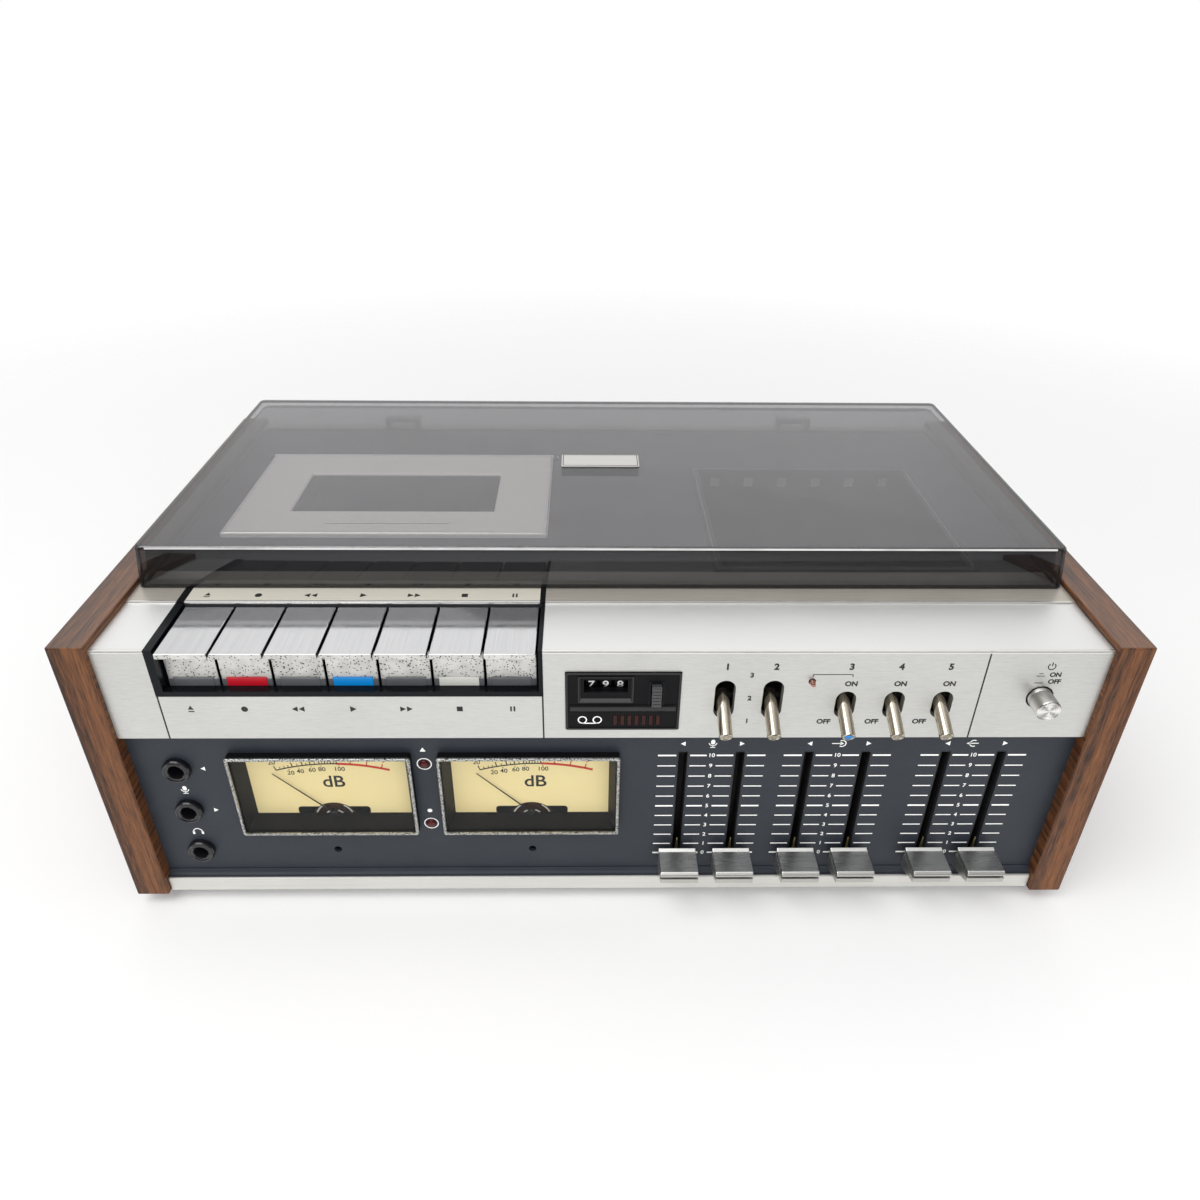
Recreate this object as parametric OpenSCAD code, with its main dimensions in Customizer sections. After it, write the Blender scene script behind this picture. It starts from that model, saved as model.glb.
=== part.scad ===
// Stereo cassette deck: low front-panel controls, piano keys, clear hinged dust cover.
// Millimetres. X runs to the right, Y away from the user, Z up.
// Heights are counted from the lower edge of the wooden cheeks; the feet reach below it.

/* [Case] */
// Width over both wooden cheeks
body_w = 440; // [396:1:484]
// Depth of the wooden cheeks
body_d = 248; // [246:1:300]
// Height of the wooden cheeks
cheek_h = 142.5; // [128:0.5:156]
// Thickness of a cheek
cheek_t = 15; // [12:0.5:17]
// Height of the rubber feet
foot_h = 7; // [4:0.5:12]
// Radius of a foot
foot_r = 11; // [8:0.5:14]
// Thickness of the folded steel sheet of the chassis
sheet_t = 1.5; // [1:0.1:2]
// How far the rear panel stands in from the back of the cheeks
rear_inset = 4; // [2:0.5:8]

/* [Front] */
// How far the silver fascia stands back from the cheeks' front edge
fascia_set = 2.5; // [1:0.1:5]
// Thickness of the fascia's front wall
fascia_t = 4; // [3:0.1:5]
// Height of the fascia's front face
fascia_h = 45; // [44:0.5:48]
// How far the fascia's top lies below the cheeks' top edge
deck_drop = 3.2; // [2:0.1:5]
// Thickness of the fascia's flat top
fascia_top_t = 2; // [1.5:0.1:2.5]
// Depth of the fascia's flat top, front to back
fascia_top_d = 35.5; // [35:0.5:37]
// Thickness of the dark meter panel
panel_t = 2; // [1.5:0.1:2.5]
// Height of the silver trim strip under the meter panel
trim_h = 8; // [6:0.5:10]
// Height of the hollow moulding between the panel and the trim
cove_h = 3; // [2:0.1:3.5]
// Width of the dark seam lines in the fascia
seam_w = 0.7; // [0.5:0.1:1]
// Depth of the dark seam lines in the fascia
seam_d = 0.6; // [0.3:0.1:1]

/* [Keys] */
// Distance from key to key in a case of the drawn width
key_pitch = 21.7; // [21.2:0.1:21.8]
// Gap between two keys
key_gap = 0.8; // [0.6:0.1:1.5]
// Middle of the row of keys
keys_mid_x = -103.75; // [-105:0.25:-103]
// Left edge of the key well
well_left = -183.6; // [-185:0.1:-183.4]
// Right edge of the key well
well_right = -25.6; // [-25.8:0.1:-25]
// Depth of the well's cut in the fascia, from the deck down
well_drop = 22.7; // [21:0.1:24]
// Height of the black lip under the keys
well_lip_h = 2.5; // [2:0.1:3]
// Depth of the well's floor below the deck
well_depth = 41; // [38:0.5:42]
// Thickness of the well's floor
well_floor_t = 1.5; // [1:0.1:2.5]
// How far the keys' tops fall from back to front
key_fall = 1.9; // [1:0.1:3]
// Thickness of a key's front lip
key_lip_t = 2.2; // [1.8:0.1:3]
// How far a key's lip overhangs its skirt
key_overhang = 6.1; // [5:0.1:6.5]
// Thickness of a key's skirt
key_skirt_t = 2; // [1.5:0.1:3]
// Distance of the key shaft behind the cheeks' front edge
key_shaft_y = 72; // [68:0.5:74]
// Distance of the key shaft below the deck
key_shaft_drop = 17.3; // [16:0.1:18]
// Radius of the key shaft
key_shaft_r = 2.5; // [2:0.1:3]
// Radius of the hub at the back of a key
key_hub_r = 6; // [5:0.1:7]

/* [Meters] */
// Width of a meter's bezel in a case of the drawn width
meter_w = 79.5; // [76:0.5:82]
// Height of a meter's bezel
meter_h = 46; // [44:0.5:48]
// Middle of the left meter
meter_left_x = -123.75; // [-126:0.25:-122]
// Middle of the right meter
meter_right_x = -32.95; // [-35:0.25:-30]
// Height of the meters' middle
meter_z = 59.8; // [58:0.1:62]
// How far a bezel stands proud of the panel
bezel_proud = 4.5; // [3:0.1:5.5]
// Width of a bezel's front rim
bezel_rim = 1.3; // [1:0.1:2]
// Depth of the dial behind the bezel's front
dial_depth = 10; // [8:0.5:12]
// Depth of a meter case behind the panel
meter_case_d = 30; // [25:1:34]
// Length of a meter needle
needle_l = 34; // [28:0.5:35]
// Angle of the resting needle to the left of upright
needle_rest = 45; // [40:1:50]

/* [Faders] */
// Travel of a fader on a panel of the drawn height
fader_travel = 60.5; // [50:0.5:60.5]
// Height of a fader's stem at zero
fader_zero = 20.2; // [19.5:0.1:23]
// Width of a fader slot
fader_slot_w = 3.9; // [3:0.1:5]
// Width of a fader knob
fader_knob_w = 17.2; // [14:0.1:19]
// Height of a fader knob at the panel
fader_knob_h = 12; // [10:0.5:14]
// Height of a fader knob's front face
fader_face_h = 6; // [4:0.5:8]
// How far a fader knob reaches out of the panel
fader_reach = 18.5; // [14:0.5:20]

/* [Switches] */
// Width of a lever slot
lever_slot_w = 8.5; // [8:0.1:9]
// Radius of a lever
lever_r = 2.9; // [2.5:0.1:3]
// Length of a lever from its pin to its tip
lever_l = 20; // [18:0.5:24]
// Distance of a lever's pin behind the fascia's front
lever_pin_d = 6.5; // [6:0.1:7]
// Height of a lever's pin below the deck
lever_pin_drop = 26.6; // [26:0.1:27]
// Angle of a resting lever below level
lever_rest = 26; // [22:1:27]
// Radius of a lever's pin
lever_pin_r = 1.6; // [1.2:0.1:2]
// Radius of the power knob
power_r = 5; // [4:0.1:6]
// How far the power knob stands out of the fascia
power_reach = 9.6; // [7:0.1:12]

/* [Counter] */
// Width of the counter's front plate
counter_w = 47.7; // [47:0.1:49]
// Height of the counter's front plate
counter_h = 30; // [29:0.1:31]
// Middle of the counter's front plate
counter_x = 7.15; // [6:0.05:8]
// Radius of a number wheel
number_r = 8; // [7:0.1:8.2]
// Distance from number wheel to number wheel
number_pitch = 6; // [5.6:0.1:6.1]
// Width of a number wheel
number_w = 5; // [4:0.1:5.2]

/* [Cover] */
// Height of the dust cover
cover_h = 19.8; // [16:0.1:26]
// Wall of the dust cover
cover_wall = 2.5; // [2:0.1:3]
// Front edge of the dust cover, behind the cheeks' front edge
cover_front = 49; // [47:0.5:52]
// Rear edge of the dust cover, in front of the rear of the cheeks
cover_inset = 13; // [12:0.5:16]
// Gap between the dust cover and each cheek
cover_side_gap = 1.1; // [0.6:0.1:2]
// How far the dust cover's walls lean in towards the top
cover_draft = 1.5; // [0.5:0.1:2.5]
// Distance of each cover hinge from the middle
cover_hinge_x = 120; // [90:1:150]

/* [Cassette] */
// Width of the cassette lid
lid_w = 157.5; // [142:0.5:176]
// Depth of the cassette lid
lid_d = 96.5; // [94:0.5:98]
// Thickness of the cassette lid
lid_t = 2.5; // [2.2:0.1:3]
// Middle of the lid and the cassette
lid_x = -105.4; // [-106:0.1:-104]
// Front edge of the lid, behind the cheeks' front edge
lid_front = 95.5; // [94:0.5:97]
// Width of the window in the lid
window_w = 102; // [96:0.5:106]
// Depth of the window in the lid
window_d = 45; // [40:0.5:50]
// Distance of the window from the lid's front edge
window_front = 24.2; // [22:0.1:28]
// Width of a cassette
cassette_w = 100.4; // [100:0.1:102]
// Depth of a cassette
cassette_d = 63.8; // [63:0.1:64.5]
// Height of the bay between the lid and the guides' feet
cassette_h = 13; // [12.4:0.1:13.4]
// Distance between the two reel spindles
reel_span = 42.5; // [42:0.1:43]
// Radius of the capstan
capstan_r = 1.2; // [1:0.05:1.5]
// Radius of the flywheel
flywheel_r = 35; // [30:0.5:37]
// Radius of the pinch roller
pinch_r = 6; // [5:0.1:6.5]
// Travel of the head bridge
head_travel = 5.4; // [4:0.1:5.4]
// Radius of the motor
motor_r = 18; // [14:0.5:19]
// Radius of the motor pulley
pulley_r = 6; // [5:0.1:7]

/* [Storage] */
// Left edge of the storage well
store_left = 53; // [50:0.5:56]
// Width of the storage well
store_w = 117; // [112:0.5:120]
// Front edge of the storage well, behind the cheeks' front edge
store_front = 67; // [64:0.5:70]
// Depth of the storage well, front to back
store_d = 110; // [108:0.5:114]
// Depth of the storage well below the deck
store_h = 66; // [50:0.5:70]
// Wall of the storage well
store_wall = 1.8; // [1.5:0.1:2.5]
// Number of cassettes that the storage well holds
store_places = 6; // [4:1:6]

/* [Sockets] */
// Radius of a front jack's bore
jack_bore_r = 3.25; // [3.2:0.01:3.3]
// Radius of a front jack's ring
jack_ring_r = 6.1; // [5.5:0.1:7]
// Middle of the front jacks
jack_x = -186.4; // [-188:0.1:-185]
// Radius of a rear socket's shell
phono_r = 4.15; // [4:0.05:4.3]
// Length of a rear socket's shell
phono_l = 8; // [7:0.5:10]

/* [Hidden] */
$fn = 48;

KEYS = ["eject_key", "record_key", "rewind_key", "play_key", "forward_key", "stop_key", "pause_key"];
FADERS = ["mic_left_fader", "mic_right_fader", "line_left_fader", "line_right_fader",
  "output_left_fader", "output_right_fader"];
LEVERS = ["bias_lever", "equaliser_lever", "noise_filter_lever", "copy_lever", "timer_lever"];
NEEDLES = ["left_needle", "right_needle"];
REELS = ["supply_reel", "take_up_reel"];
NUMBERS = ["hundreds_wheel", "tens_wheel", "units_wheel"];

// Clearances: a turning fit, a gap between pieces that pass each other, an overshoot for cuts
fit = 0.05;
gap = 0.35;
cut = 1;

// Planes of the case
half_in = body_w / 2 - cheek_t;
// Places across the front were drawn for this half width between the cheeks, and spread with it
drawn_half = 205;
spread = half_in / drawn_half;
deck_z = cheek_h - deck_drop;
fascia_y = fascia_set;
fascia_z0 = deck_z - fascia_h;
panel_y = fascia_y + fascia_t;
panel_back = panel_y + panel_t;
panel_lap = 2;
deck_front = fascia_y + fascia_top_d;
deck_step = 0.6;
deck_top = deck_z + deck_step;
deck_under = deck_z - fascia_top_t;
rear_y1 = body_d - rear_inset;
rear_y0 = rear_y1 - sheet_t;

// Heights on the meter panel were drawn between this foot and this head, and stretch with the panel
drawn_foot = 11;
drawn_head = 94.3;
panel_foot = trim_h + cove_h;
rise = (fascia_z0 - panel_foot) / (drawn_head - drawn_foot);
function on_panel(z) = panel_foot + (z - drawn_foot) * rise;

// Places on the front, as the eye reads them from left to right
well_x0 = well_left * spread;
well_x1 = well_right * spread;
fader_x = [34.4, 59.4, 89.5, 114.6, 149.8, 174.4] * spread;
lever_x = [49.2, 69.1, 99.7, 120, 140.2] * spread;
lever_slot_rise = [11.8, 11.8, 6.2, 6.2, 6.2];
lever_slot_fall = 7.7;
meter_x = [meter_left_x, meter_right_x] * spread;
meter_wide = meter_w * spread;
meter_mid_z = on_panel(meter_z);
jack_at = jack_x * spread;
jack_z = [on_panel(73.7), on_panel(49.3), on_panel(24.1)];
last_seam_x = 155 * spread;
seam_x = [well_x0 + seam_w / 2, well_x1 - seam_w / 2, last_seam_x];
lamp_x = -78.8 * spread;
lamp_z = [on_panel(76.1), on_panel(40)];
lamp_r = 2.2;
lamp_proud = 0.6;
lamp_flange = 1;
lamp_flange_t = 3;
tell_tale_x = 84.4 * spread;
tell_tale_drop = 15.2;
tell_tale_z = deck_z - tell_tale_drop;
tell_tale_r = 1.5;
tell_tale_reach = 4;
adjuster_z = on_panel(23.2);
adjuster_r = 1.8;
power_x = 180.3 * spread;
power_drop = 23.4;
power_z = deck_z - power_drop;
power_play = 0.4;
power_hole_r = power_r + power_play;

// Keys
keys_mid = keys_mid_x * spread;
key_step = key_pitch * spread;
key_w = key_step - key_gap;
key_count = len(KEYS);
keys_left = keys_mid - key_count * key_step / 2 + key_gap / 2;
keys_right = keys_mid + key_count * key_step / 2 - key_gap / 2;
key_tail_gap = 1.6;
key_back = deck_front - key_tail_gap;
key_nose = 1.3;
key_front = fascia_y - key_nose;
skirt_y = key_front + key_overhang;
well_z = deck_z - well_drop;
well_floor = deck_z - well_depth;
well_tail = 8;
well_back = key_shaft_y + well_tail;
well_proud = 0.2;
skirt_lift = 0.9;
skirt_z = well_z + skirt_lift;
key_shaft_z = deck_z - key_shaft_drop;
key_shaft_reach = 2.5;
key_arm_t = 3;
key_web = 6;

// Meters
bezel_y = panel_y - bezel_proud;
dial_y = bezel_y + dial_depth;
dial_t = 0.8;
meter_wall = 1.5;
meter_step = 2;
case_w = meter_wide - 2 * meter_step;
case_h = meter_h - 2 * meter_step;
case_in_w = case_w - 2 * meter_wall;
case_in_h = case_h - 2 * meter_wall;
lens_w = meter_wide - 2 * bezel_rim;
lens_h = meter_h - 2 * bezel_rim;
lens_t = 1;
lens_set = 0.8;
funnel_ledge = 0.5;
funnel_foot = [1, 0.5];
funnel_end = 0.25;
funnel_y = bezel_y + lens_set + lens_t;
needle_pin_r = 0.8;
needle_hub_r = 1.4;
needle_hub_t = 1.4;
needle_w = 0.8;
needle_t = 0.5;
needle_y = dial_y - gap - needle_hub_t;
needle_lift = 0.9;
needle_z = meter_mid_z - case_in_h / 2 + needle_hub_r + needle_lift;

// Faders and what carries them
fader_stem_w = 2.4;
fader_stem_h = 3;
fader_low = on_panel(fader_zero);
fader_run = fader_travel * rise;
fader_off = 3.4;
fader_back = panel_y - fader_off;
fader_front = panel_y - fader_reach;
fader_top = fader_low + fader_knob_h / 2;
pot_w = 11;
pot_d = 12;
pot_end = 6;
stem_in = 7.2;
groove_top = 2.7;
groove_h = 0.9;
groove_d = 0.6;
fader_slot_z0 = fader_low - fader_stem_h / 2 - gap;
fader_slot_z1 = fader_low + fader_run + fader_stem_h / 2 + gap;
stem_back = panel_back + stem_in;

// Lever switches and the power switch
lever_pin_y = fascia_y + lever_pin_d;
lever_pin_z = deck_z - lever_pin_drop;
switch_wall = 2;
switch_side = 2.5;
switch_w = lever_slot_w + 2 * switch_side;
switch_d = 20;
switch_rise = 13.5;
switch_fall = 12;
power_in = 16;
power_back = panel_y + power_in;
power_body = 9;
power_room = 5;
power_wall = 1;

// Counter
counter_at = counter_x * spread;
counter_drop = 25.2;
counter_z = deck_z - counter_drop;
counter_proud = 0.4;
counter_y = fascia_y - counter_proud;
counter_fit = 0.15;
counter_flange = 2;
counter_in = 24;
counter_back = panel_y + counter_in;
counter_wall = 1.5;
counter_recess = 0.8;
number_shift = -7.1;
number_x = counter_at + number_shift;
number_play = 0.4;
number_y = panel_y + number_r - number_play;
number_drop = 17.3;
number_z = deck_z - number_drop;
wheels_play = 0.3;
wheels_w = len(NUMBERS) * number_pitch + 2 * wheels_play;
wheels_h = 2 * (number_r + number_play);
number_axle_r = 1.5;
digit_w = 18;
digit_h = 6.3;
reset_shift = 13.75;
reset_x = counter_at + reset_shift;
reset_w = 4;
reset_h = 10.3;
reset_drop = 21.4;
reset_z = deck_z - reset_drop;
reset_reach = 2.6;
reset_in = 10;
reset_back = panel_y + reset_in;
reset_room = 7;
reset_wall = 2;
bar_count = 7;
bar_pitch = 2.98;
bar_w = 2;
bar_h = 5;
bar_shift = 5.9;
bar_x = counter_at + bar_shift;
bar_drop = 35;
bar_z = deck_z - bar_drop;

// Dust cover and its hinges
cover_back = body_d - cover_inset;
cover_half = half_in - cover_side_gap;
cover_z = deck_top + gap;
cover_edge_r = 2;
cover_foot_r = 3;
cover_foot_h = 0.5;
cover_hinge_at = cover_hinge_x * spread;
cover_hinge_out = 5.5;
cover_hinge_y = cover_back + cover_hinge_out;
cover_hinge_up = 4.5;
cover_hinge_z = deck_top + cover_hinge_up;
cover_lug_w = 14;
cover_lug_r = 3.2;
cover_pin_r = 1.5;
cover_ear_t = 3;
cover_ear_gap = 0.4;

// Cassette lid and what turns under it
lid_at = lid_x * spread;
lid_z = deck_top + gap;
lid_top = lid_z + lid_t;
lid_back = lid_front + lid_d;
lid_left = lid_at - lid_w / 2;
lid_right = lid_at + lid_w / 2;
lid_pin_y = lid_back - lid_t / 2;
lid_pin_z = lid_z + lid_t / 2;
lid_pin_r = 0.8;
lid_pin_l = 3;
lid_ear_t = 2;
lid_ear_r = 2.2;
window_lap = 1.2;
window_t = 1.2;
window_y = lid_front + window_front;
cassette_in = 21.5;
cassette_y = lid_front + cassette_in;
cassette_play = 1.4;
guide_t = 1.2;
guide_in = max(cassette_w / 2 + cassette_play, window_w / 2 + window_lap + fit);
bay_margin = 0.7;
bay_half = guide_in + guide_t + bay_margin;
bay_front_lap = 3.5;
bay_front = lid_front + bay_front_lap;
bay_back_lap = 6;
bay_back = lid_back - bay_back_lap;
guide_foot = 5;
guide_z = lid_z - cassette_h;
plate_room = 1.8;
plate_top = guide_z - guide_t - plate_room;
plate_t = 2;
plate_z = plate_top - plate_t;
plate_side = 3;
plate_left = lid_left - plate_side;
plate_right = lid_right + plate_side;
plate_front_gap = 4;
plate_front = well_back + plate_front_gap;
plate_tail = 8;
plate_back = lid_back + plate_tail;
post_r = 3.5;
post_edge = [6, 5];
reel_in = 34;
reel_y = cassette_y + reel_in;
reel_tail = 2;
reel_tip = 1;
reel_shaft_r = 2;
reel_hub_r = 4.2;
reel_table_r = 13;
reel_table_t = 1.4;
reel_up = 9.5;
reel_top = guide_z + reel_up;
reel_rib = 0.9;
capstan_side = 32;
capstan_x = lid_at + capstan_side;
capstan_in = 6.5;
capstan_y = cassette_y + capstan_in;
capstan_bush_r = 4;
capstan_bush_l = 8;
flywheel_t = 8;
flywheel_gap = 0.4;
flywheel_top = plate_z - capstan_bush_l - flywheel_gap;
pinch_gap = 0.4;
pinch_y = capstan_y - capstan_r - pinch_gap - head_travel - pinch_r;
pinch_pin_r = 1.5;
bridge_t = 1.6;
bridge_z = plate_top + gap;
bridge_fore = 12.5;
bridge_front = pinch_y - bridge_fore;
bridge_aft = 3;
bridge_back = pinch_y + bridge_aft;
bridge_left = 40;
bridge_right = 7;
head_set = 2.5;
head_back = cassette_y - head_set;
head_w = 13;
head_d = 10;
head_up = 9;
eraser_side = 19;
eraser_w = 10;
eraser_d = 9;
eraser_up = 8;
pinch_up = 9.5;
pinch_pin_up = 10.5;
motor_side = 59.6;
motor_x = lid_at - motor_side;
motor_in = 69.5;
motor_y = lid_front + motor_in;
motor_gap = 3;
motor_top = flywheel_top - flywheel_t - motor_gap;
motor_h = 40;
motor_shaft_r = 1;
motor_shaft_grip = 5;
motor_post_r = 2.5;
motor_post_edge = 3;
motor_post_ring = motor_r - motor_post_edge;
motor_post_turn = [80, 156, 232];
belt_w = 3;
belt_t = 0.8;
belt_z = flywheel_top - flywheel_t / 2 - belt_w / 2;

// Storage well
store_rim = 2.5;
store_rim_t = 0.8;
store_x0 = store_left * spread;
store_right = store_x0 + store_w;
store_back = store_front + store_d;
store_floor = deck_z - store_h;
store_tab = 5;
store_tab_drop = 5;
store_tab_t = 1.5;

// Sockets
ring_proud = 3;
jack_neck_r = 4.5;
jack_body_r = 7.5;
jack_in = 28;
jack_back = panel_y + jack_in;
jack_bore_l = 28;
phono_x = [-170, -150, -120, -100] * spread;
phono_flange_w = 16;
phono_z = 40;
phono_flange_t = 1.5;
phono_bore_r = 1.6;
gland_x = 160 * spread;
gland_z = 30;
gland_r = 7;
gland_bore_r = 3.5;
gland_l = 5;
gland_floor = 1;

// Inside pieces
board_z = 20;
board_t = 1.6;
board_gap = 11.65;
board_left = plate_right + board_gap;
board_side = 15;
board_right = half_in - board_side;
board_fore = 8;
board_front = store_front - board_fore;
board_rear = 12;
board_back = rear_y0 - board_rear;
standoff_r = 3;
standoff_edge = 8;
can_count = 6;
can_r = 7;
can_h = 22;
can_rear = 26;
can_edge = 24;
can_pitch = (board_right - board_left - 2 * can_edge) / (can_count - 1);
chip_count = 5;
chip_size = [20, 7, 4];
chip_in = 30;
chip_edge = 22;
chip_pitch = (board_right - board_left - 2 * chip_edge - chip_size.x) / (chip_count - 1);
core_rear = 34;
core_y = rear_y0 - core_rear;
core_size = [60, 24, 50];
winding_size = [38, 40, 32];
screw_r = 3;
screw_head = 1.5;
screw_edge = 12;
foot_edge = 32;
foot_x = half_in - foot_edge;
foot_y = [fascia_y + foot_edge, rear_y0 - foot_edge];

// The whole part is moved so that its box is centred front to back and stands on Z = 0
front_reach = fader_front;
rear_reach = rear_y1 + phono_flange_t + phono_l;
mid_y = (front_reach + rear_reach) / 2;

// Box between two opposite corners
module box(a, b) translate(a) cube(b - a);

// Round bars along X, Y and Z
module bar_along_x(x0, x1, y, z, r) translate([x0, y, z]) rotate([0, 90, 0]) cylinder(r = r, h = x1 - x0);
module bar_along_y(x, y0, y1, z, r) translate([x, y0, z]) rotate([-90, 0, 0]) cylinder(r = r, h = y1 - y0);
module bar_along_z(x, y, z0, z1, r) translate([x, y, z0]) cylinder(r = r, h = z1 - z0);

// A profile drawn in Y and Z, carried along X
module along_x(x0, x1) translate([x0, 0, 0]) rotate([90, 0, 90]) linear_extrude(x1 - x0) children();

// Upright slot with round ends, cut front to back
module upright_slot(x, z0, z1, w, y0, y1) {
  bar_along_y(x, y0, y1, z0 + w / 2, w / 2);
  bar_along_y(x, y0, y1, z1 - w / 2, w / 2);
  box([x - w / 2, y0, z0 + w / 2], [x + w / 2, y1, z1 - w / 2]);
}

// Upright rectangle of a width and height, from one depth to another
module slab(x, z, w, h, y0, y1) box([x - w / 2, y0, z - h / 2], [x + w / 2, y1, z + h / 2]);

// Wooden cheek on one side: -1 is the left one
module cheek(side) color([0.36, 0.2, 0.1])
  box([side < 0 ? -body_w / 2 : half_in, 0, 0], [side < 0 ? -half_in : body_w / 2, body_d, cheek_h]);

// Folded pan with side walls that carry the fascia and the deck
module chassis() color([0.6, 0.6, 0.58]) {
  box([-half_in, panel_y, 0], [half_in, rear_y0, sheet_t]);
  for (x = [-half_in, half_in - sheet_t])
    box([x, panel_back, 0], [x + sheet_t, rear_y0, deck_under]);
}

module feet() color([0.08, 0.08, 0.08])
  for (x = [-foot_x, foot_x], y = foot_y)
    bar_along_z(x, y, -foot_h, 0, foot_r);

// Rear panel with two pairs of ears that hold the pins of the dust cover
module rear_panel() color([0.12, 0.12, 0.12]) {
  box([-half_in, rear_y0, 0], [half_in, rear_y1, deck_top]);
  for (x = [-cover_hinge_at, cover_hinge_at]) {
    reach = cover_lug_w / 2 + cover_ear_gap;
    for (side = [-1, 1]) {
      x0 = x + (side < 0 ? -reach - cover_ear_t : reach);
      bar_along_x(x0, x0 + cover_ear_t, cover_hinge_y, cover_hinge_z, cover_lug_r);
      box([x0, cover_hinge_y - cover_lug_r, deck_top], [x0 + cover_ear_t, rear_y1, cover_hinge_z]);
    }
    bar_along_x(x - reach - cut, x + reach + cut, cover_hinge_y, cover_hinge_z, cover_pin_r);
  }
}

// Silver fascia: front wall and flat top in one angle, open at the key well
module front_fascia() color([0.8, 0.8, 0.78]) difference() {
  union() {
    box([-half_in, fascia_y, fascia_z0], [half_in, panel_y, deck_z]);
    box([-half_in, fascia_y, deck_under], [half_in, deck_front, deck_z]);
  }
  box([well_x0, fascia_y - cut, well_z], [well_x1, deck_front + cut, deck_z + cut]);
  slab(counter_at, counter_z, counter_w, counter_h, fascia_y - cut, panel_y + cut);
  for (i = [0:len(lever_x) - 1])
    upright_slot(lever_x[i], lever_pin_z - lever_slot_fall, lever_pin_z + lever_slot_rise[i],
      lever_slot_w, fascia_y - cut, panel_y + cut);
  bar_along_y(power_x, fascia_y - cut, panel_y + cut, power_z, power_hole_r);
  bar_along_y(tell_tale_x, fascia_y - cut, panel_y + cut, tell_tale_z, tell_tale_r);
  for (i = [0:len(seam_x) - 1])
    box([seam_x[i] - seam_w / 2, fascia_y - cut, fascia_z0 - cut],
      [seam_x[i] + seam_w / 2, fascia_y + seam_d, i < 2 ? well_z + cut : deck_z + cut]);
}

// Dark panel behind the meters and faders, with a hollow moulding along its foot
module meter_panel() color([0.2, 0.22, 0.25]) difference() {
  union() {
    box([-half_in, panel_y, trim_h], [half_in, panel_back, fascia_z0 + panel_lap]);
    box([-half_in, panel_y - cove_h, trim_h], [half_in, panel_y, trim_h + cove_h]);
  }
  bar_along_x(-half_in - cut, half_in + cut, panel_y - cove_h, trim_h + cove_h, cove_h - 0.4);
  for (x = meter_x)
    slab(x, meter_mid_z, case_w, case_h, panel_y - cut, panel_back + cut);
  for (x = fader_x)
    box([x - fader_slot_w / 2, panel_y - cut, fader_slot_z0],
      [x + fader_slot_w / 2, panel_back + cut, fader_slot_z1]);
  for (z = jack_z)
    bar_along_y(jack_at, panel_y - cut, panel_back + cut, z, jack_neck_r);
  for (z = lamp_z)
    bar_along_y(lamp_x, panel_y - cut, panel_back + cut, z, lamp_r);
  for (x = meter_x)
    bar_along_y(x, panel_y - cut, panel_back + cut, adjuster_z, adjuster_r);
}

// Silver strip along the foot of the front
module bottom_trim() color([0.8, 0.8, 0.78])
  box([-half_in, fascia_y, 0], [half_in, panel_y, trim_h]);

// Top plate: openings for the cassette bay and the storage well, ears for the lid's pins
module top_deck() color([0.6, 0.6, 0.6]) {
  difference() {
    box([-half_in, deck_front, deck_under], [half_in, rear_y0, deck_top]);
    box([lid_at - bay_half, bay_front, deck_under - cut], [lid_at + bay_half, bay_back, deck_top + cut]);
    box([store_x0, store_front, deck_under - cut], [store_right, store_back, deck_top + cut]);
  }
  for (x = [lid_left - gap - lid_ear_t, lid_right + gap])
    difference() {
      union() {
        bar_along_x(x, x + lid_ear_t, lid_pin_y, lid_pin_z, lid_ear_r);
        box([x, lid_pin_y - lid_ear_r, deck_top], [x + lid_ear_t, lid_pin_y + lid_ear_r, lid_pin_z]);
      }
      bar_along_x(x - cut, x + lid_ear_t + cut, lid_pin_y, lid_pin_z, lid_pin_r + fit);
    }
}

// Black tub around the keys: side walls that carry the shaft, a floor and the front lip
module key_well() color([0.05, 0.05, 0.05]) {
  difference() {
    for (side = [[well_x0, keys_left - key_gap], [keys_right + key_gap, well_x1]]) {
      box([side[0], fascia_y - well_proud, well_z], [side[1], deck_front, deck_z + well_proud]);
      box([side[0], panel_y, well_floor], [side[1], well_back, deck_under]);
    }
    bar_along_x(well_x0 - cut, well_x1 + cut, key_shaft_y, key_shaft_z, key_shaft_r);
  }
  box([well_x0, panel_y, well_floor - well_floor_t], [well_x1, well_back, well_floor]);
  box([keys_left - key_gap - cut, fascia_y - well_proud, well_z],
    [keys_right + key_gap + cut, panel_y, well_z + well_lip_h]);
}

module key_shaft() color([0.7, 0.7, 0.72])
  bar_along_x(well_x0 - key_shaft_reach, well_x1 + key_shaft_reach,
    key_shaft_y, key_shaft_z, key_shaft_r);

// Piano key: sloping top with a lip, a skirt below it, and an arm back to the hub on the shaft
module key(i) color([0.78, 0.78, 0.76]) {
  x0 = keys_mid + (i - (key_count - 1) / 2) * key_step - key_w / 2;
  front_z = deck_z - key_fall;
  arm_z = key_shaft_z + key_arm_t;
  difference() {
    union() {
      along_x(x0, x0 + key_w) polygon([[key_front, front_z], [key_back, deck_z],
        [key_back, deck_z - key_arm_t], [key_shaft_y, arm_z], [key_shaft_y, arm_z - 2 * key_arm_t],
        [key_back - key_web, deck_z - 2 * key_arm_t], [skirt_y + key_skirt_t, front_z - key_lip_t],
        [skirt_y + key_skirt_t, skirt_z], [skirt_y, skirt_z], [skirt_y, front_z - key_lip_t],
        [key_front, front_z - key_lip_t]]);
      bar_along_x(x0, x0 + key_w, key_shaft_y, key_shaft_z, key_hub_r);
    }
    bar_along_x(x0 - cut, x0 + key_w + cut, key_shaft_y, key_shaft_z, key_shaft_r + fit);
  }
}

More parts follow.
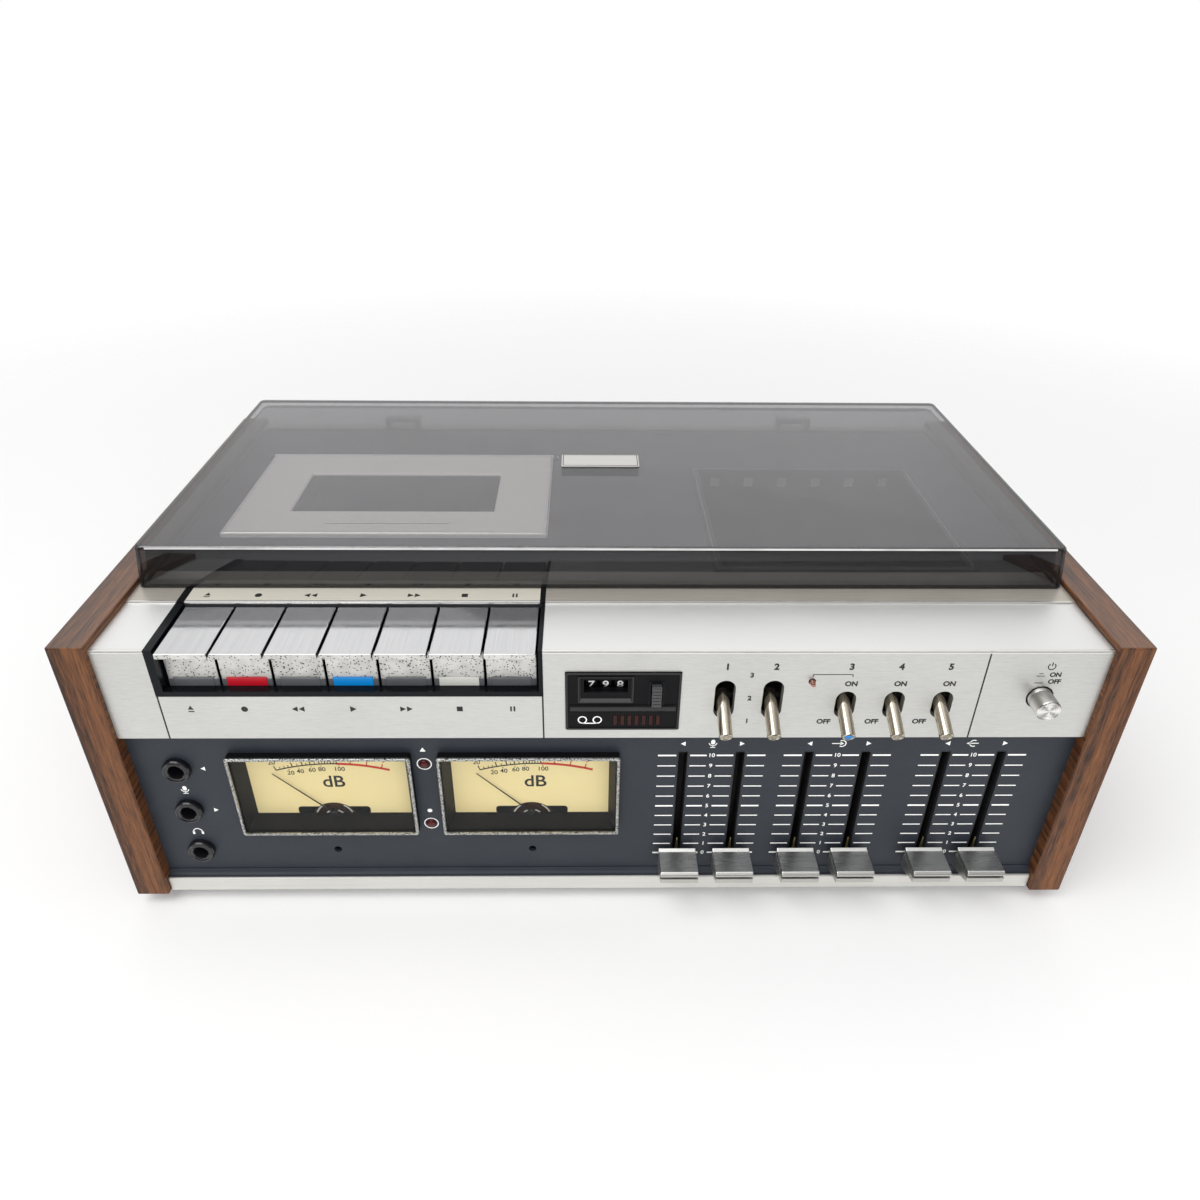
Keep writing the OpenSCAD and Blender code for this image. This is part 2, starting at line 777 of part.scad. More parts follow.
// Meter cases: bezel in front of the panel, box behind it, funnel down to the dial
module meter_cases() color([0.04, 0.04, 0.04]) for (x = meter_x) difference() {
  union() {
    slab(x, meter_mid_z, meter_wide, meter_h, bezel_y, panel_y);
    slab(x, meter_mid_z, case_w, case_h, panel_y - cut, panel_back + meter_case_d);
  }
  slab(x, meter_mid_z, lens_w, lens_h, bezel_y - cut, funnel_y);
  hull() {
    slab(x, meter_mid_z, lens_w - 2 * funnel_ledge, lens_h - 2 * funnel_ledge,
      funnel_y - funnel_end, funnel_y);
    slab(x, meter_mid_z, case_in_w - 2 * funnel_foot.x, case_in_h - 2 * funnel_foot.y,
      dial_y, dial_y + funnel_end);
  }
  slab(x, meter_mid_z, case_in_w, case_in_h, dial_y, panel_back + meter_case_d - meter_wall);
}

// Printed dials, each with the pin that its needle turns on
module meter_dials() color([0.93, 0.87, 0.66]) for (x = meter_x) {
  slab(x, meter_mid_z, case_in_w, case_in_h, dial_y, dial_y + dial_t);
  bar_along_y(x, needle_y - gap, dial_y + dial_t / 2, needle_z, needle_pin_r);
}

module meter_lenses() color([0.9, 0.95, 0.95, 0.3]) for (x = meter_x)
  slab(x, meter_mid_z, lens_w, lens_h, bezel_y + lens_set, bezel_y + lens_set + lens_t);

module needle(i) color([0.1, 0.1, 0.1])
  translate([meter_x[i], 0, needle_z]) rotate([0, -needle_rest, 0]) difference() {
    union() {
      bar_along_y(0, needle_y, needle_y + needle_hub_t, 0, needle_hub_r);
      box([-needle_w / 2, needle_y, 0], [needle_w / 2, needle_y + needle_t, needle_l]);
    }
    bar_along_y(0, needle_y - cut, needle_y + needle_hub_t + cut, 0, needle_pin_r + fit);
  }

// Front jacks: ring, neck through the panel, body with a blind bore
module input_jacks() color([0.05, 0.05, 0.05]) for (z = jack_z) difference() {
  union() {
    bar_along_y(jack_at, panel_y - ring_proud, panel_y, z, jack_ring_r);
    bar_along_y(jack_at, panel_y - cut, panel_back + cut, z, jack_neck_r);
    bar_along_y(jack_at, panel_back, jack_back + meter_wall, z, jack_body_r);
  }
  bar_along_y(jack_at, panel_y - ring_proud - cut, panel_y - ring_proud + jack_bore_l, z, jack_bore_r);
}

// Small lamps: two in the panel, one stub in the fascia, a row of bars in the counter
module indicator_lenses() color([0.45, 0.08, 0.06]) {
  for (z = lamp_z) {
    bar_along_y(lamp_x, panel_y - lamp_proud, panel_back + cut, z, lamp_r);
    bar_along_y(lamp_x, panel_back, panel_back + lamp_flange_t, z, lamp_r + lamp_flange);
  }
  bar_along_y(tell_tale_x, fascia_y - tell_tale_reach, panel_y + cut, tell_tale_z, tell_tale_r);
  bar_along_y(tell_tale_x, panel_y, panel_y + lamp_flange_t, tell_tale_z, tell_tale_r + lamp_flange);
  for (i = [0:bar_count - 1])
    slab(bar_x + (i - (bar_count - 1) / 2) * bar_pitch, bar_z, bar_w, bar_h, counter_y, panel_y);
}

// Counter case: front plate in the fascia, flange behind it, box around the number wheels
module counter_case() color([0.06, 0.06, 0.06]) {
  difference() {
    union() {
      slab(counter_at, counter_z, counter_w - 2 * counter_fit, counter_h - 2 * counter_fit,
        counter_y, panel_y + cut);
      slab(counter_at, counter_z, counter_w + 2 * counter_flange, counter_h + 2 * counter_flange,
        panel_y, panel_y + counter_wall);
      slab(number_x, number_z, wheels_w + 2 * counter_wall, wheels_h + 2 * counter_wall,
        panel_y, counter_back);
      slab(reset_x, reset_z, reset_w + 2 * reset_wall, reset_h + 2 * reset_wall,
        panel_y, reset_back + reset_room + counter_wall);
    }
    slab(number_x, number_z, wheels_w, wheels_h, panel_y - counter_recess, counter_back - counter_wall);
    slab(number_x, number_z, digit_w, digit_h, counter_y - cut, panel_y);
    slab(reset_x, reset_z, reset_w + 2 * gap, reset_h + 2 * gap, counter_y - cut, reset_back + reset_room);
    for (i = [0:bar_count - 1])
      slab(bar_x + (i - (bar_count - 1) / 2) * bar_pitch, bar_z, bar_w, bar_h, counter_y - cut, panel_y);
  }
  axle_half = wheels_w / 2 + cut;
  bar_along_x(number_x - axle_half, number_x + axle_half, number_y, number_z, number_axle_r);
}

module number_wheel(i) color([0.1, 0.1, 0.1]) {
  x = number_x + (i - 1) * number_pitch;
  difference() {
    bar_along_x(x - number_w / 2, x + number_w / 2, number_y, number_z, number_r);
    bar_along_x(x - number_w / 2 - cut, x + number_w / 2 + cut, number_y, number_z, number_axle_r + fit);
  }
}

module counter_reset() color([0.15, 0.15, 0.15])
  slab(reset_x, reset_z, reset_w, reset_h, counter_y - reset_reach, reset_back);

// Bodies of the slide controls, the lever switches and the power switch
module control_bodies() color([0.35, 0.37, 0.4]) {
  for (x = fader_x) difference() {
    box([x - pot_w / 2, panel_back, fader_slot_z0 - pot_end],
      [x + pot_w / 2, panel_back + pot_d, fader_slot_z1 + pot_end]);
    box([x - fader_slot_w / 2, panel_back - cut, fader_slot_z0],
      [x + fader_slot_w / 2, stem_back + gap, fader_slot_z1]);
  }
  for (x = lever_x) difference() {
    box([x - switch_w / 2, panel_y, lever_pin_z - switch_fall],
      [x + switch_w / 2, panel_y + switch_d, lever_pin_z + switch_rise]);
    box([x - lever_slot_w / 2, panel_y - cut, lever_pin_z - switch_fall + switch_wall],
      [x + lever_slot_w / 2, lever_pin_y + lever_r + switch_wall, lever_pin_z + switch_rise - switch_wall]);
    bar_along_x(x - switch_w / 2 - cut, x + switch_w / 2 + cut, lever_pin_y, lever_pin_z, lever_pin_r + fit);
  }
  difference() {
    slab(power_x, power_z, 2 * power_body, 2 * power_body, panel_y, power_back + power_room + power_wall);
    bar_along_y(power_x, panel_y - cut, power_back + power_room, power_z, power_r + fit);
  }
}

// Fader: wedge-shaped knob with a grooved front, and the stem through the slot
module fader(i) color([0.75, 0.75, 0.74]) {
  x = fader_x[i];
  face_low = fader_top - fader_face_h;
  difference() {
    along_x(x - fader_knob_w / 2, x + fader_knob_w / 2)
      polygon([[fader_back, fader_top], [fader_front, fader_top],
        [fader_front, face_low], [fader_back, fader_top - fader_knob_h]]);
    box([x - fader_knob_w, fader_front - cut, fader_top - groove_top - groove_h],
      [x + fader_knob_w, fader_front + groove_d, fader_top - groove_top]);
  }
  box([x - fader_stem_w / 2, fader_back - cut, fader_low - fader_stem_h / 2],
    [x + fader_stem_w / 2, stem_back, fader_low + fader_stem_h / 2]);
}

// Switch lever: a round bat on a cross pin, resting at its lower stop
module lever(i) color([0.72, 0.68, 0.6]) translate([lever_x[i], lever_pin_y, lever_pin_z]) {
  sphere(r = lever_r);
  rotate([90 + lever_rest, 0, 0]) cylinder(r = lever_r, h = lever_l);
  bar_along_x(-switch_w / 2, switch_w / 2, 0, 0, lever_pin_r);
}

module power_knob() color([0.7, 0.7, 0.7])
  bar_along_y(power_x, fascia_y - power_reach, power_back, power_z, power_r);

// Clear cover: a drafted shell with two lugs on its rear wall
module cover_shell(inset, top) hull() {
  low = inset + cover_foot_r;
  high = inset + cover_draft + cover_edge_r;
  for (side = [-1, 1], at_back = [false, true]) {
    translate([side * (cover_half - low), at_back ? cover_back - low : cover_front + low,
      cover_z - (inset > 0 ? cut : 0)])
      cylinder(r = cover_foot_r, h = cover_foot_h, $fn = 32);
    translate([side * (cover_half - high), at_back ? cover_back - high : cover_front + high,
      cover_z + top - cover_edge_r])
      sphere(r = cover_edge_r, $fn = 24);
  }
}

module dust_cover() color([0.5, 0.52, 0.55, 0.35]) {
  difference() {
    cover_shell(0, cover_h);
    cover_shell(cover_wall, cover_h - cover_wall);
  }
  for (x = [-cover_hinge_at, cover_hinge_at]) difference() {
    union() {
      bar_along_x(x - cover_lug_w / 2, x + cover_lug_w / 2, cover_hinge_y, cover_hinge_z, cover_lug_r);
      box([x - cover_lug_w / 2, cover_back - cover_wall, cover_hinge_z - cover_lug_r],
        [x + cover_lug_w / 2, cover_hinge_y, cover_hinge_z + cover_lug_r]);
    }
    bar_along_x(x - cover_lug_w, x + cover_lug_w, cover_hinge_y, cover_hinge_z, cover_pin_r + fit);
  }
}

// Lid of the cassette bay: plate with a rounded rear edge and pins, and two guides for the cassette
module cassette_lid() color([0.62, 0.62, 0.62]) {
  difference() {
    union() {
      box([lid_left, lid_front, lid_z], [lid_right, lid_pin_y, lid_top]);
      bar_along_x(lid_left, lid_right, lid_pin_y, lid_pin_z, lid_t / 2);
    }
    box([lid_at - window_w / 2, window_y, lid_z - cut],
      [lid_at + window_w / 2, window_y + window_d, lid_top + cut]);
    box([lid_at - window_w / 2 - window_lap, window_y - window_lap, lid_z - cut],
      [lid_at + window_w / 2 + window_lap, window_y + window_d + window_lap, lid_z + window_t]);
  }
  bar_along_x(lid_left - lid_pin_l, lid_right + lid_pin_l, lid_pin_y, lid_pin_z, lid_pin_r);
  for (side = [-1, 1]) {
    inner = lid_at + side * guide_in;
    outer = inner + side * guide_t;
    foot = inner - side * guide_foot;
    box([min(inner, outer), cassette_y, guide_z - guide_t],
      [max(inner, outer), cassette_y + cassette_d, lid_z + cut]);
    box([min(foot, outer), cassette_y, guide_z - guide_t],
      [max(foot, outer), cassette_y + cassette_d, guide_z]);
  }
}

module lid_window() color([0.3, 0.3, 0.32, 0.5])
  box([lid_at - window_w / 2 - window_lap, window_y - window_lap, lid_z],
    [lid_at + window_w / 2 + window_lap, window_y + window_d + window_lap, lid_z + window_t]);

// Steel plate that carries the tape drive, hung from the deck on four posts
module mechanism_plate() color([0.65, 0.65, 0.62]) difference() {
  union() {
    box([plate_left, plate_front, plate_z], [plate_right, plate_back, plate_top]);
    for (x = [plate_left + post_edge.x, plate_right - post_edge.x],
        y = [plate_front + post_edge.y, plate_back - post_edge.y])
      bar_along_z(x, y, plate_z, deck_under, post_r);
    bar_along_z(capstan_x, capstan_y, plate_z - capstan_bush_l, plate_top, capstan_bush_r);
  }
  bar_along_z(capstan_x, capstan_y, plate_z - capstan_bush_l - cut, plate_top + cut, capstan_r + fit);
  for (side = [-1, 1])
    bar_along_z(lid_at + side * reel_span / 2, reel_y, plate_z - cut, plate_top + cut, reel_shaft_r + fit);
}

// Motor hung under the plate on three posts
module motor() color([0.5, 0.5, 0.5]) difference() {
  union() {
    bar_along_z(motor_x, motor_y, motor_top - motor_h, motor_top, motor_r);
    for (turn = motor_post_turn)
      bar_along_z(motor_x + motor_post_ring * cos(turn), motor_y + motor_post_ring * sin(turn),
        motor_top - cut, plate_z, motor_post_r);
  }
  bar_along_z(motor_x, motor_y, motor_top - motor_shaft_grip - gap, motor_top + cut, motor_shaft_r + fit);
}

module motor_pulley() color([0.75, 0.65, 0.4]) {
  bar_along_z(motor_x, motor_y, flywheel_top - flywheel_t, flywheel_top, pulley_r);
  bar_along_z(motor_x, motor_y, motor_top - motor_shaft_grip, flywheel_top, motor_shaft_r);
}

module flywheel() color([0.7, 0.7, 0.7]) {
  bar_along_z(capstan_x, capstan_y, flywheel_top - flywheel_t, flywheel_top, flywheel_r);
  bar_along_z(capstan_x, capstan_y, flywheel_top - flywheel_t, reel_top, capstan_r);
}

// Flat outline around the flywheel and the pulley, a given distance outside them
module belt_outline(out) hull() {
  translate([capstan_x, capstan_y]) circle(r = flywheel_r + out);
  translate([motor_x, motor_y]) circle(r = pulley_r + out);
}

module drive_belt() color([0.06, 0.06, 0.06])
  translate([0, 0, belt_z]) linear_extrude(belt_w) difference() {
    belt_outline(gap + belt_t);
    belt_outline(gap);
  }

// Reel spindle: shaft, table and a hub with three ribs
module reel(i) color([0.15, 0.15, 0.15]) {
  x = lid_at + (i - 0.5) * reel_span;
  table_z = plate_top + gap;
  bar_along_z(x, reel_y, plate_z - reel_tail, table_z + cut, reel_shaft_r);
  bar_along_z(x, reel_y, table_z, table_z + reel_table_t, reel_table_r);
  bar_along_z(x, reel_y, table_z, reel_top, reel_hub_r - reel_rib);
  for (turn = [0, 120, 240])
    translate([x, reel_y, 0]) rotate([0, 0, turn])
      box([0, -reel_rib / 2, table_z], [reel_hub_r, reel_rib / 2, reel_top - reel_tip]);
}

// Sliding bridge with two heads and the pinch roller's pin
module head_bridge() color([0.6, 0.6, 0.6]) {
  eraser_x = lid_at - eraser_side;
  box([lid_at - bridge_left, bridge_front, bridge_z],
    [capstan_x + bridge_right, bridge_back, bridge_z + bridge_t]);
  box([lid_at - head_w / 2, head_back - head_d, bridge_z],
    [lid_at + head_w / 2, head_back, guide_z + head_up]);
  box([eraser_x - eraser_w / 2, head_back - eraser_d, bridge_z],
    [eraser_x + eraser_w / 2, head_back, guide_z + eraser_up]);
  bar_along_z(capstan_x, pinch_y, bridge_z, guide_z + pinch_pin_up, pinch_pin_r);
}

module pinch_roller() color([0.1, 0.1, 0.1]) difference() {
  bar_along_z(capstan_x, pinch_y, bridge_z + bridge_t + gap, guide_z + pinch_up, pinch_r);
  bar_along_z(capstan_x, pinch_y, bridge_z, guide_z + pinch_up + cut, pinch_pin_r + fit);
}

// Open well for boxed cassettes, with a rim on the deck and a small tab at each place
module storage_well() color([0.1, 0.1, 0.11]) {
  difference() {
    union() {
      box([store_x0, store_front, store_floor], [store_right, store_back, deck_top + cut / 2]);
      box([store_x0 - store_rim, store_front - store_rim, deck_top],
        [store_right + store_rim, store_back + store_rim, deck_top + store_rim_t]);
    }
    box([store_x0 + store_wall, store_front + store_wall, store_floor + store_wall],
      [store_right - store_wall, store_back - store_wall, deck_top + cut]);
  }
  pitch = (store_w - 2 * store_wall) / store_places;
  for (i = [0:store_places - 1])
    slab(store_x0 + store_wall + (i + 0.5) * pitch, deck_z - store_tab_drop, store_tab, store_tab,
      store_back - store_wall - store_tab_t, store_back - store_wall / 2);
}

module circuit_board() color([0.2, 0.35, 0.18]) {
  box([board_left, board_front, board_z], [board_right, board_back, board_z + board_t]);
  for (x = [board_left + standoff_edge, board_right - standoff_edge],
      y = [board_front + standoff_edge, board_back - standoff_edge])
    bar_along_z(x, y, sheet_t, board_z, standoff_r);
  for (i = [0:can_count - 1])
    bar_along_z(board_left + can_edge + can_pitch * i, board_back - can_rear,
      board_z, board_z + board_t + can_h, can_r);
  for (i = [0:chip_count - 1])
    translate([board_left + chip_edge + chip_pitch * i, board_front + chip_in, board_z])
      cube(chip_size + [0, 0, board_t]);
}

// Mains transformer on the floor: laminated core and winding
module transformer() color([0.3, 0.3, 0.3]) {
  middle = [lid_at, core_y, sheet_t + core_size.z / 2];
  box(middle - core_size / 2, middle + core_size / 2);
  box(middle - winding_size / 2, middle + winding_size / 2);
}

// Rear sockets on their flange, and the gland of the mains lead
module rear_connectors() color([0.7, 0.66, 0.5]) {
  for (x = phono_x) difference() {
    union() {
      slab(x, phono_z, phono_flange_w, phono_flange_w, rear_y1, rear_y1 + phono_flange_t);
      bar_along_y(x, rear_y1, rear_y1 + phono_flange_t + phono_l, phono_z, phono_r);
    }
    bar_along_y(x, rear_y1 + phono_flange_t, rear_reach + cut, phono_z, phono_bore_r);
  }
  difference() {
    bar_along_y(gland_x, rear_y1, rear_y1 + gland_l, gland_z, gland_r);
    bar_along_y(gland_x, rear_y1 + gland_floor, rear_y1 + gland_l + cut, gland_z, gland_bore_r);
  }
}

// Screw heads on the rear panel and under the floor
module screws() color([0.3, 0.3, 0.3]) {
  for (x = [-half_in + screw_edge, 0, half_in - screw_edge], z = [screw_edge, deck_z - screw_edge])
    bar_along_y(x, rear_y1, rear_y1 + screw_head, z, screw_r);
  for (x = [-half_in + screw_edge, half_in - screw_edge],
      y = [panel_back + screw_edge, body_d / 2, rear_y0 - screw_edge])
    bar_along_z(x, y, -screw_head, 0, screw_r);
}

module placed() translate([0, -mid_y, foot_h]) children();

placed() cheek(-1);  // left_cheek
placed() cheek(1);  // right_cheek
placed() chassis();
placed() feet();
placed() rear_panel();
placed() front_fascia();
placed() meter_panel();
placed() bottom_trim();
placed() top_deck();
placed() key_well();
placed() key_shaft();
placed() meter_cases();
placed() meter_dials();
placed() meter_lenses();
placed() input_jacks();
placed() indicator_lenses();
placed() counter_case();
placed() control_bodies();
placed() circuit_board();
placed() transformer();
placed() mechanism_plate();
placed() motor();
placed() rear_connectors();
placed() storage_well();
placed() screws();
placed() drive_belt();
for (i = [0:len(KEYS) - 1])
  placed() key(i);
for (i = [0:len(FADERS) - 1])
  placed() fader(i);
for (i = [0:len(LEVERS) - 1])
  placed() lever(i);
placed() power_knob();
placed() counter_reset();
for (i = [0:len(NEEDLES) - 1])
  placed() needle(i);
placed() dust_cover();
placed() cassette_lid();
placed() lid_window();
placed() flywheel();
placed() motor_pulley();
for (i = [0:len(REELS) - 1])
  placed() reel(i);
placed() head_bridge();
placed() pinch_roller();
for (i = [0:len(NUMBERS) - 1])
  placed() number_wheel(i);
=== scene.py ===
"""Looks of a stereo cassette deck: brushed fascia, piano keys, level meters, faders and a smoky cover."""

import logging
import math
from dataclasses import dataclass, field
from enum import Enum
from typing import Any, ClassVar, Optional, Sequence, Union

import bmesh
import bpy
import numpy as np
from mathutils import Matrix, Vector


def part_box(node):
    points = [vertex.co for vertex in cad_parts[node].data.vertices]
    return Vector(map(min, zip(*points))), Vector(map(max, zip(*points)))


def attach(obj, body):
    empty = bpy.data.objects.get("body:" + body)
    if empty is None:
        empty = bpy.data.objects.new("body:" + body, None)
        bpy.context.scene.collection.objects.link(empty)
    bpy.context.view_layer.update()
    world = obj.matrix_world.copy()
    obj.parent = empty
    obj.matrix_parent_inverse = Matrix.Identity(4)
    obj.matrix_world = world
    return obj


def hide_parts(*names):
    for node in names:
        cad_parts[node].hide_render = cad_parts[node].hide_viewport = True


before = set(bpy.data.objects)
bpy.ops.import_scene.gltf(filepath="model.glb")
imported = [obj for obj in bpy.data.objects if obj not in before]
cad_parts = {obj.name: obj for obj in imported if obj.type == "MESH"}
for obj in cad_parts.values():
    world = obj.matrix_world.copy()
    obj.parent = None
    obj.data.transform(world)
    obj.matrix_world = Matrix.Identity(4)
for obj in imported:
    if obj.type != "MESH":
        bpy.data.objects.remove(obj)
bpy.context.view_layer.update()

LOG = logging.getLogger("deck")

Array = np.ndarray
Colour = tuple[float, float, float]
Point = tuple[float, float, float]
Span = tuple[float, float]
Edges = tuple[Span, Span]
Places = tuple[float, ...]
Names = tuple[str, ...]
Pairs = tuple[Span, ...]
Profile = Sequence[Span]
Steps = Sequence[tuple[float, float, float]]
Rings = Sequence[tuple[Span, Span, float, float]]

MM = 0.001
# Drawing millimetres count y from the cheeks' front edge and z from their lower edge
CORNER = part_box("left_cheek")[0]
ORIGIN: Point = (0.0, 0.0, 0.0)

# Places that several sub-assemblies share
HALF_IN = 205.0
FASCIA_FRONT = 2.5
PANEL_FRONT = 6.5
FASCIA_TOP = 139.3
DECK_TOP = 139.9
KEY_WELL: Span = (-183.6, -25.6)
# Growth of letters' strokes, as a share of their size
PLAIN_WEIGHT = 0.014
BOLD_WEIGHT = 0.045


class Facing(Enum):
    """Sides that a flat outline can be laid on: its right, its up and its way out."""

    FRONT = ((1, 0, 0), (0, 0, 1), (0, -1, 0))
    TOP = ((1, 0, 0), (0, 1, 0), (0, 0, 1))
    BACK = ((-1, 0, 0), (0, 0, 1), (0, 1, 0))
    RIGHT = ((0, 1, 0), (0, 0, 1), (1, 0, 0))

    def lay(self, flat: Array, origin: Point) -> Array:
        """Points given as right, up and out, moved to an origin on this side."""
        return np.asarray(origin, float) + flat @ np.array(self.value, float)


class Transport(Enum):
    """The seven keys from left to right; each value names the key's node and body."""

    EJECT = "eject_key"
    RECORD = "record_key"
    REWIND = "rewind_key"
    PLAY = "play_key"
    FORWARD = "forward_key"
    STOP = "stop_key"
    PAUSE = "pause_key"


class Wire:
    """A shader value: sums and products with it add Math nodes."""

    def __init__(self, paint: "Tree", socket: bpy.types.NodeSocket) -> None:
        """Keeps a socket of a paint's node tree."""
        self.paint = paint
        self.socket = socket

    def math(self, operation: str, first: Any, second: Any = 0.0) -> "Wire":
        """The result of a Math node on wires or numbers."""
        return self.paint.wire("ShaderNodeMath", {"operation": operation}, {0: first, 1: second})

    def __add__(self, other: Any) -> "Wire":
        """This plus other."""
        return self.math("ADD", self, other)

    __radd__ = __add__

    def __sub__(self, other: Any) -> "Wire":
        """This less other."""
        return self.math("SUBTRACT", self, other)

    def __rsub__(self, other: Any) -> "Wire":
        """Other less this."""
        return self.math("SUBTRACT", other, self)

    def __mul__(self, other: Any) -> "Wire":
        """This times other."""
        return self.math("MULTIPLY", self, other)

    __rmul__ = __mul__

    def __pow__(self, other: Any) -> "Wire":
        """This to the power of other."""
        return self.math("POWER", self, other)

    def __gt__(self, other: Any) -> "Wire":
        """One where this is greater than other, else nought."""
        return self.math("GREATER_THAN", self, other)

    def between(self, low: float, high: float) -> "Wire":
        """Nought at low, one at high, straight between them and held outside."""
        ends = {0: self, 1: low, 2: high, 3: 0.0, 4: 1.0}
        return self.paint.wire("ShaderNodeMapRange", {"clamp": True}, ends)

    def wave(self) -> "Wire":
        """A sine of this, from nought to one."""
        return self.math("SINE", self) * 0.5 + 0.5


class Tree:
    """A node tree that nodes are added to, the world's as it stands."""

    def __init__(self, tree: bpy.types.NodeTree) -> None:
        """Keeps the tree."""
        self.tree = tree

    def node(self, kind: str, settings: Optional[dict] = None,
             sockets: Optional[dict] = None) -> bpy.types.Node:
        """Adds any node.

        Args:
            kind: the node's type.
            settings: its properties, set first.
            sockets: values or links of its inputs, by name or number.

        Returns:
            The new node.
        """
        made = self.tree.nodes.new(kind)
        for key, value in (settings or {}).items():
            setattr(made, key, value)
        for key, value in (sockets or {}).items():
            self.plug(made.inputs[key], value)
        return made

    def plug(self, socket: bpy.types.NodeSocket, value: Any) -> None:
        """Links a wire or socket into an input, or writes a plain value there.

        Args:
            socket: the input.
            value: a wire, an output socket, a colour or a number.
        """
        if isinstance(value, Wire):
            self.tree.links.new(value.socket, socket)
        elif isinstance(value, bpy.types.NodeSocket):
            self.tree.links.new(value, socket)
        elif socket.type == "RGBA":
            socket.default_value = (*value, 1.0)
        else:
            socket.default_value = value

    def wire(self, kind: str, settings: Optional[dict] = None, sockets: Optional[dict] = None,
             output: Union[int, str] = 0) -> Wire:
        """Adds a node and returns one of its outputs as a wire."""
        return Wire(self, self.node(kind, settings, sockets).outputs[output])


class Paint(Tree):
    """The node tree of one material, around one Principled shader."""

    def __init__(self, name: str) -> None:
        """Starts a material with a Principled shader on its output.

        Args:
            name: of the material.
        """
        self.material = bpy.data.materials.new(name)
        self.material.use_nodes = True
        super().__init__(self.material.node_tree)
        self.tree.nodes.clear()
        self.shader = self.node("ShaderNodeBsdfPrincipled")
        self.output = self.node("ShaderNodeOutputMaterial", None, {"Surface": self.shader.outputs[0]})

    def place(self, stretch: Point = (1.0, 1.0, 1.0)) -> Wire:
        """Object coordinates in metres, multiplied along each axis."""
        spot = self.wire("ShaderNodeTexCoord", output="Object")
        return self.wire("ShaderNodeMapping", None, {"Vector": spot, "Scale": stretch})

    def axis(self, name: str) -> Wire:
        """One of the object coordinates X, Y and Z."""
        spot = self.wire("ShaderNodeTexCoord", output="Object")
        return self.wire("ShaderNodeSeparateXYZ", None, {0: spot}, name)

    def faces(self, name: str) -> Wire:
        """One part, X, Y or Z, of the surface's own direction."""
        way = self.wire("ShaderNodeNewGeometry", output="Normal")
        return self.wire("ShaderNodeSeparateXYZ", None, {0: way}, name)

    def noise(self, scale: float, stretch: Point = (1.0, 1.0, 1.0), detail: float = 3.0,
              rough: float = 0.5) -> Wire:
        """Soft noise of so many waves a metre, from nought to one."""
        sockets = {"Vector": self.place(stretch), "Scale": scale, "Detail": detail, "Roughness": rough}
        return self.wire("ShaderNodeTexNoise", None, sockets)

    def mix(self, share: Any, first: Any, second: Any) -> Wire:
        """A colour that goes from first to second with a share."""
        return self.wire("ShaderNodeMix", {"data_type": "RGBA"}, {0: share, 6: first, 7: second}, 2)

    def bump(self, height: Wire, depth: float) -> Wire:
        """A bumped surface direction from a height of nought to one and a depth in metres."""
        return self.wire("ShaderNodeBump", None, {"Height": height, "Distance": depth, "Strength": 1.0})

    def blend(self, share: Wire, first: bpy.types.Node, second: bpy.types.Node) -> None:
        """Puts a mixture of two shaders on the material's output, in place of the first one alone."""
        both = self.node("ShaderNodeMixShader", None, {0: share, 1: first.outputs[0], 2: second.outputs[0]})
        self.plug(self.output.inputs["Surface"], both.outputs[0])

    def set(self, **values: Any) -> None:
        """Writes or links inputs of the Principled shader, named with underscores for spaces."""
        for key, value in values.items():
            self.plug(self.shader.inputs[key.replace("_", " ")], value)


@dataclass(frozen=True)
class Finish:
    """A surface finish: its own name, the record's material slot and what its paint does."""

    name: str
    slot: str
    made: ClassVar[dict[str, bpy.types.Material]] = {}

    def dress(self, paint: Paint) -> None:
        """Fills a paint; each kind of finish has its own."""

    def material(self) -> bpy.types.Material:
        """The finish's material, made once.

        Returns:
            The material.
        """
        if self.name not in self.made:
            paint = Paint(self.name)
            self.dress(paint)
            self.made[self.name] = paint.material
        return self.made[self.name]


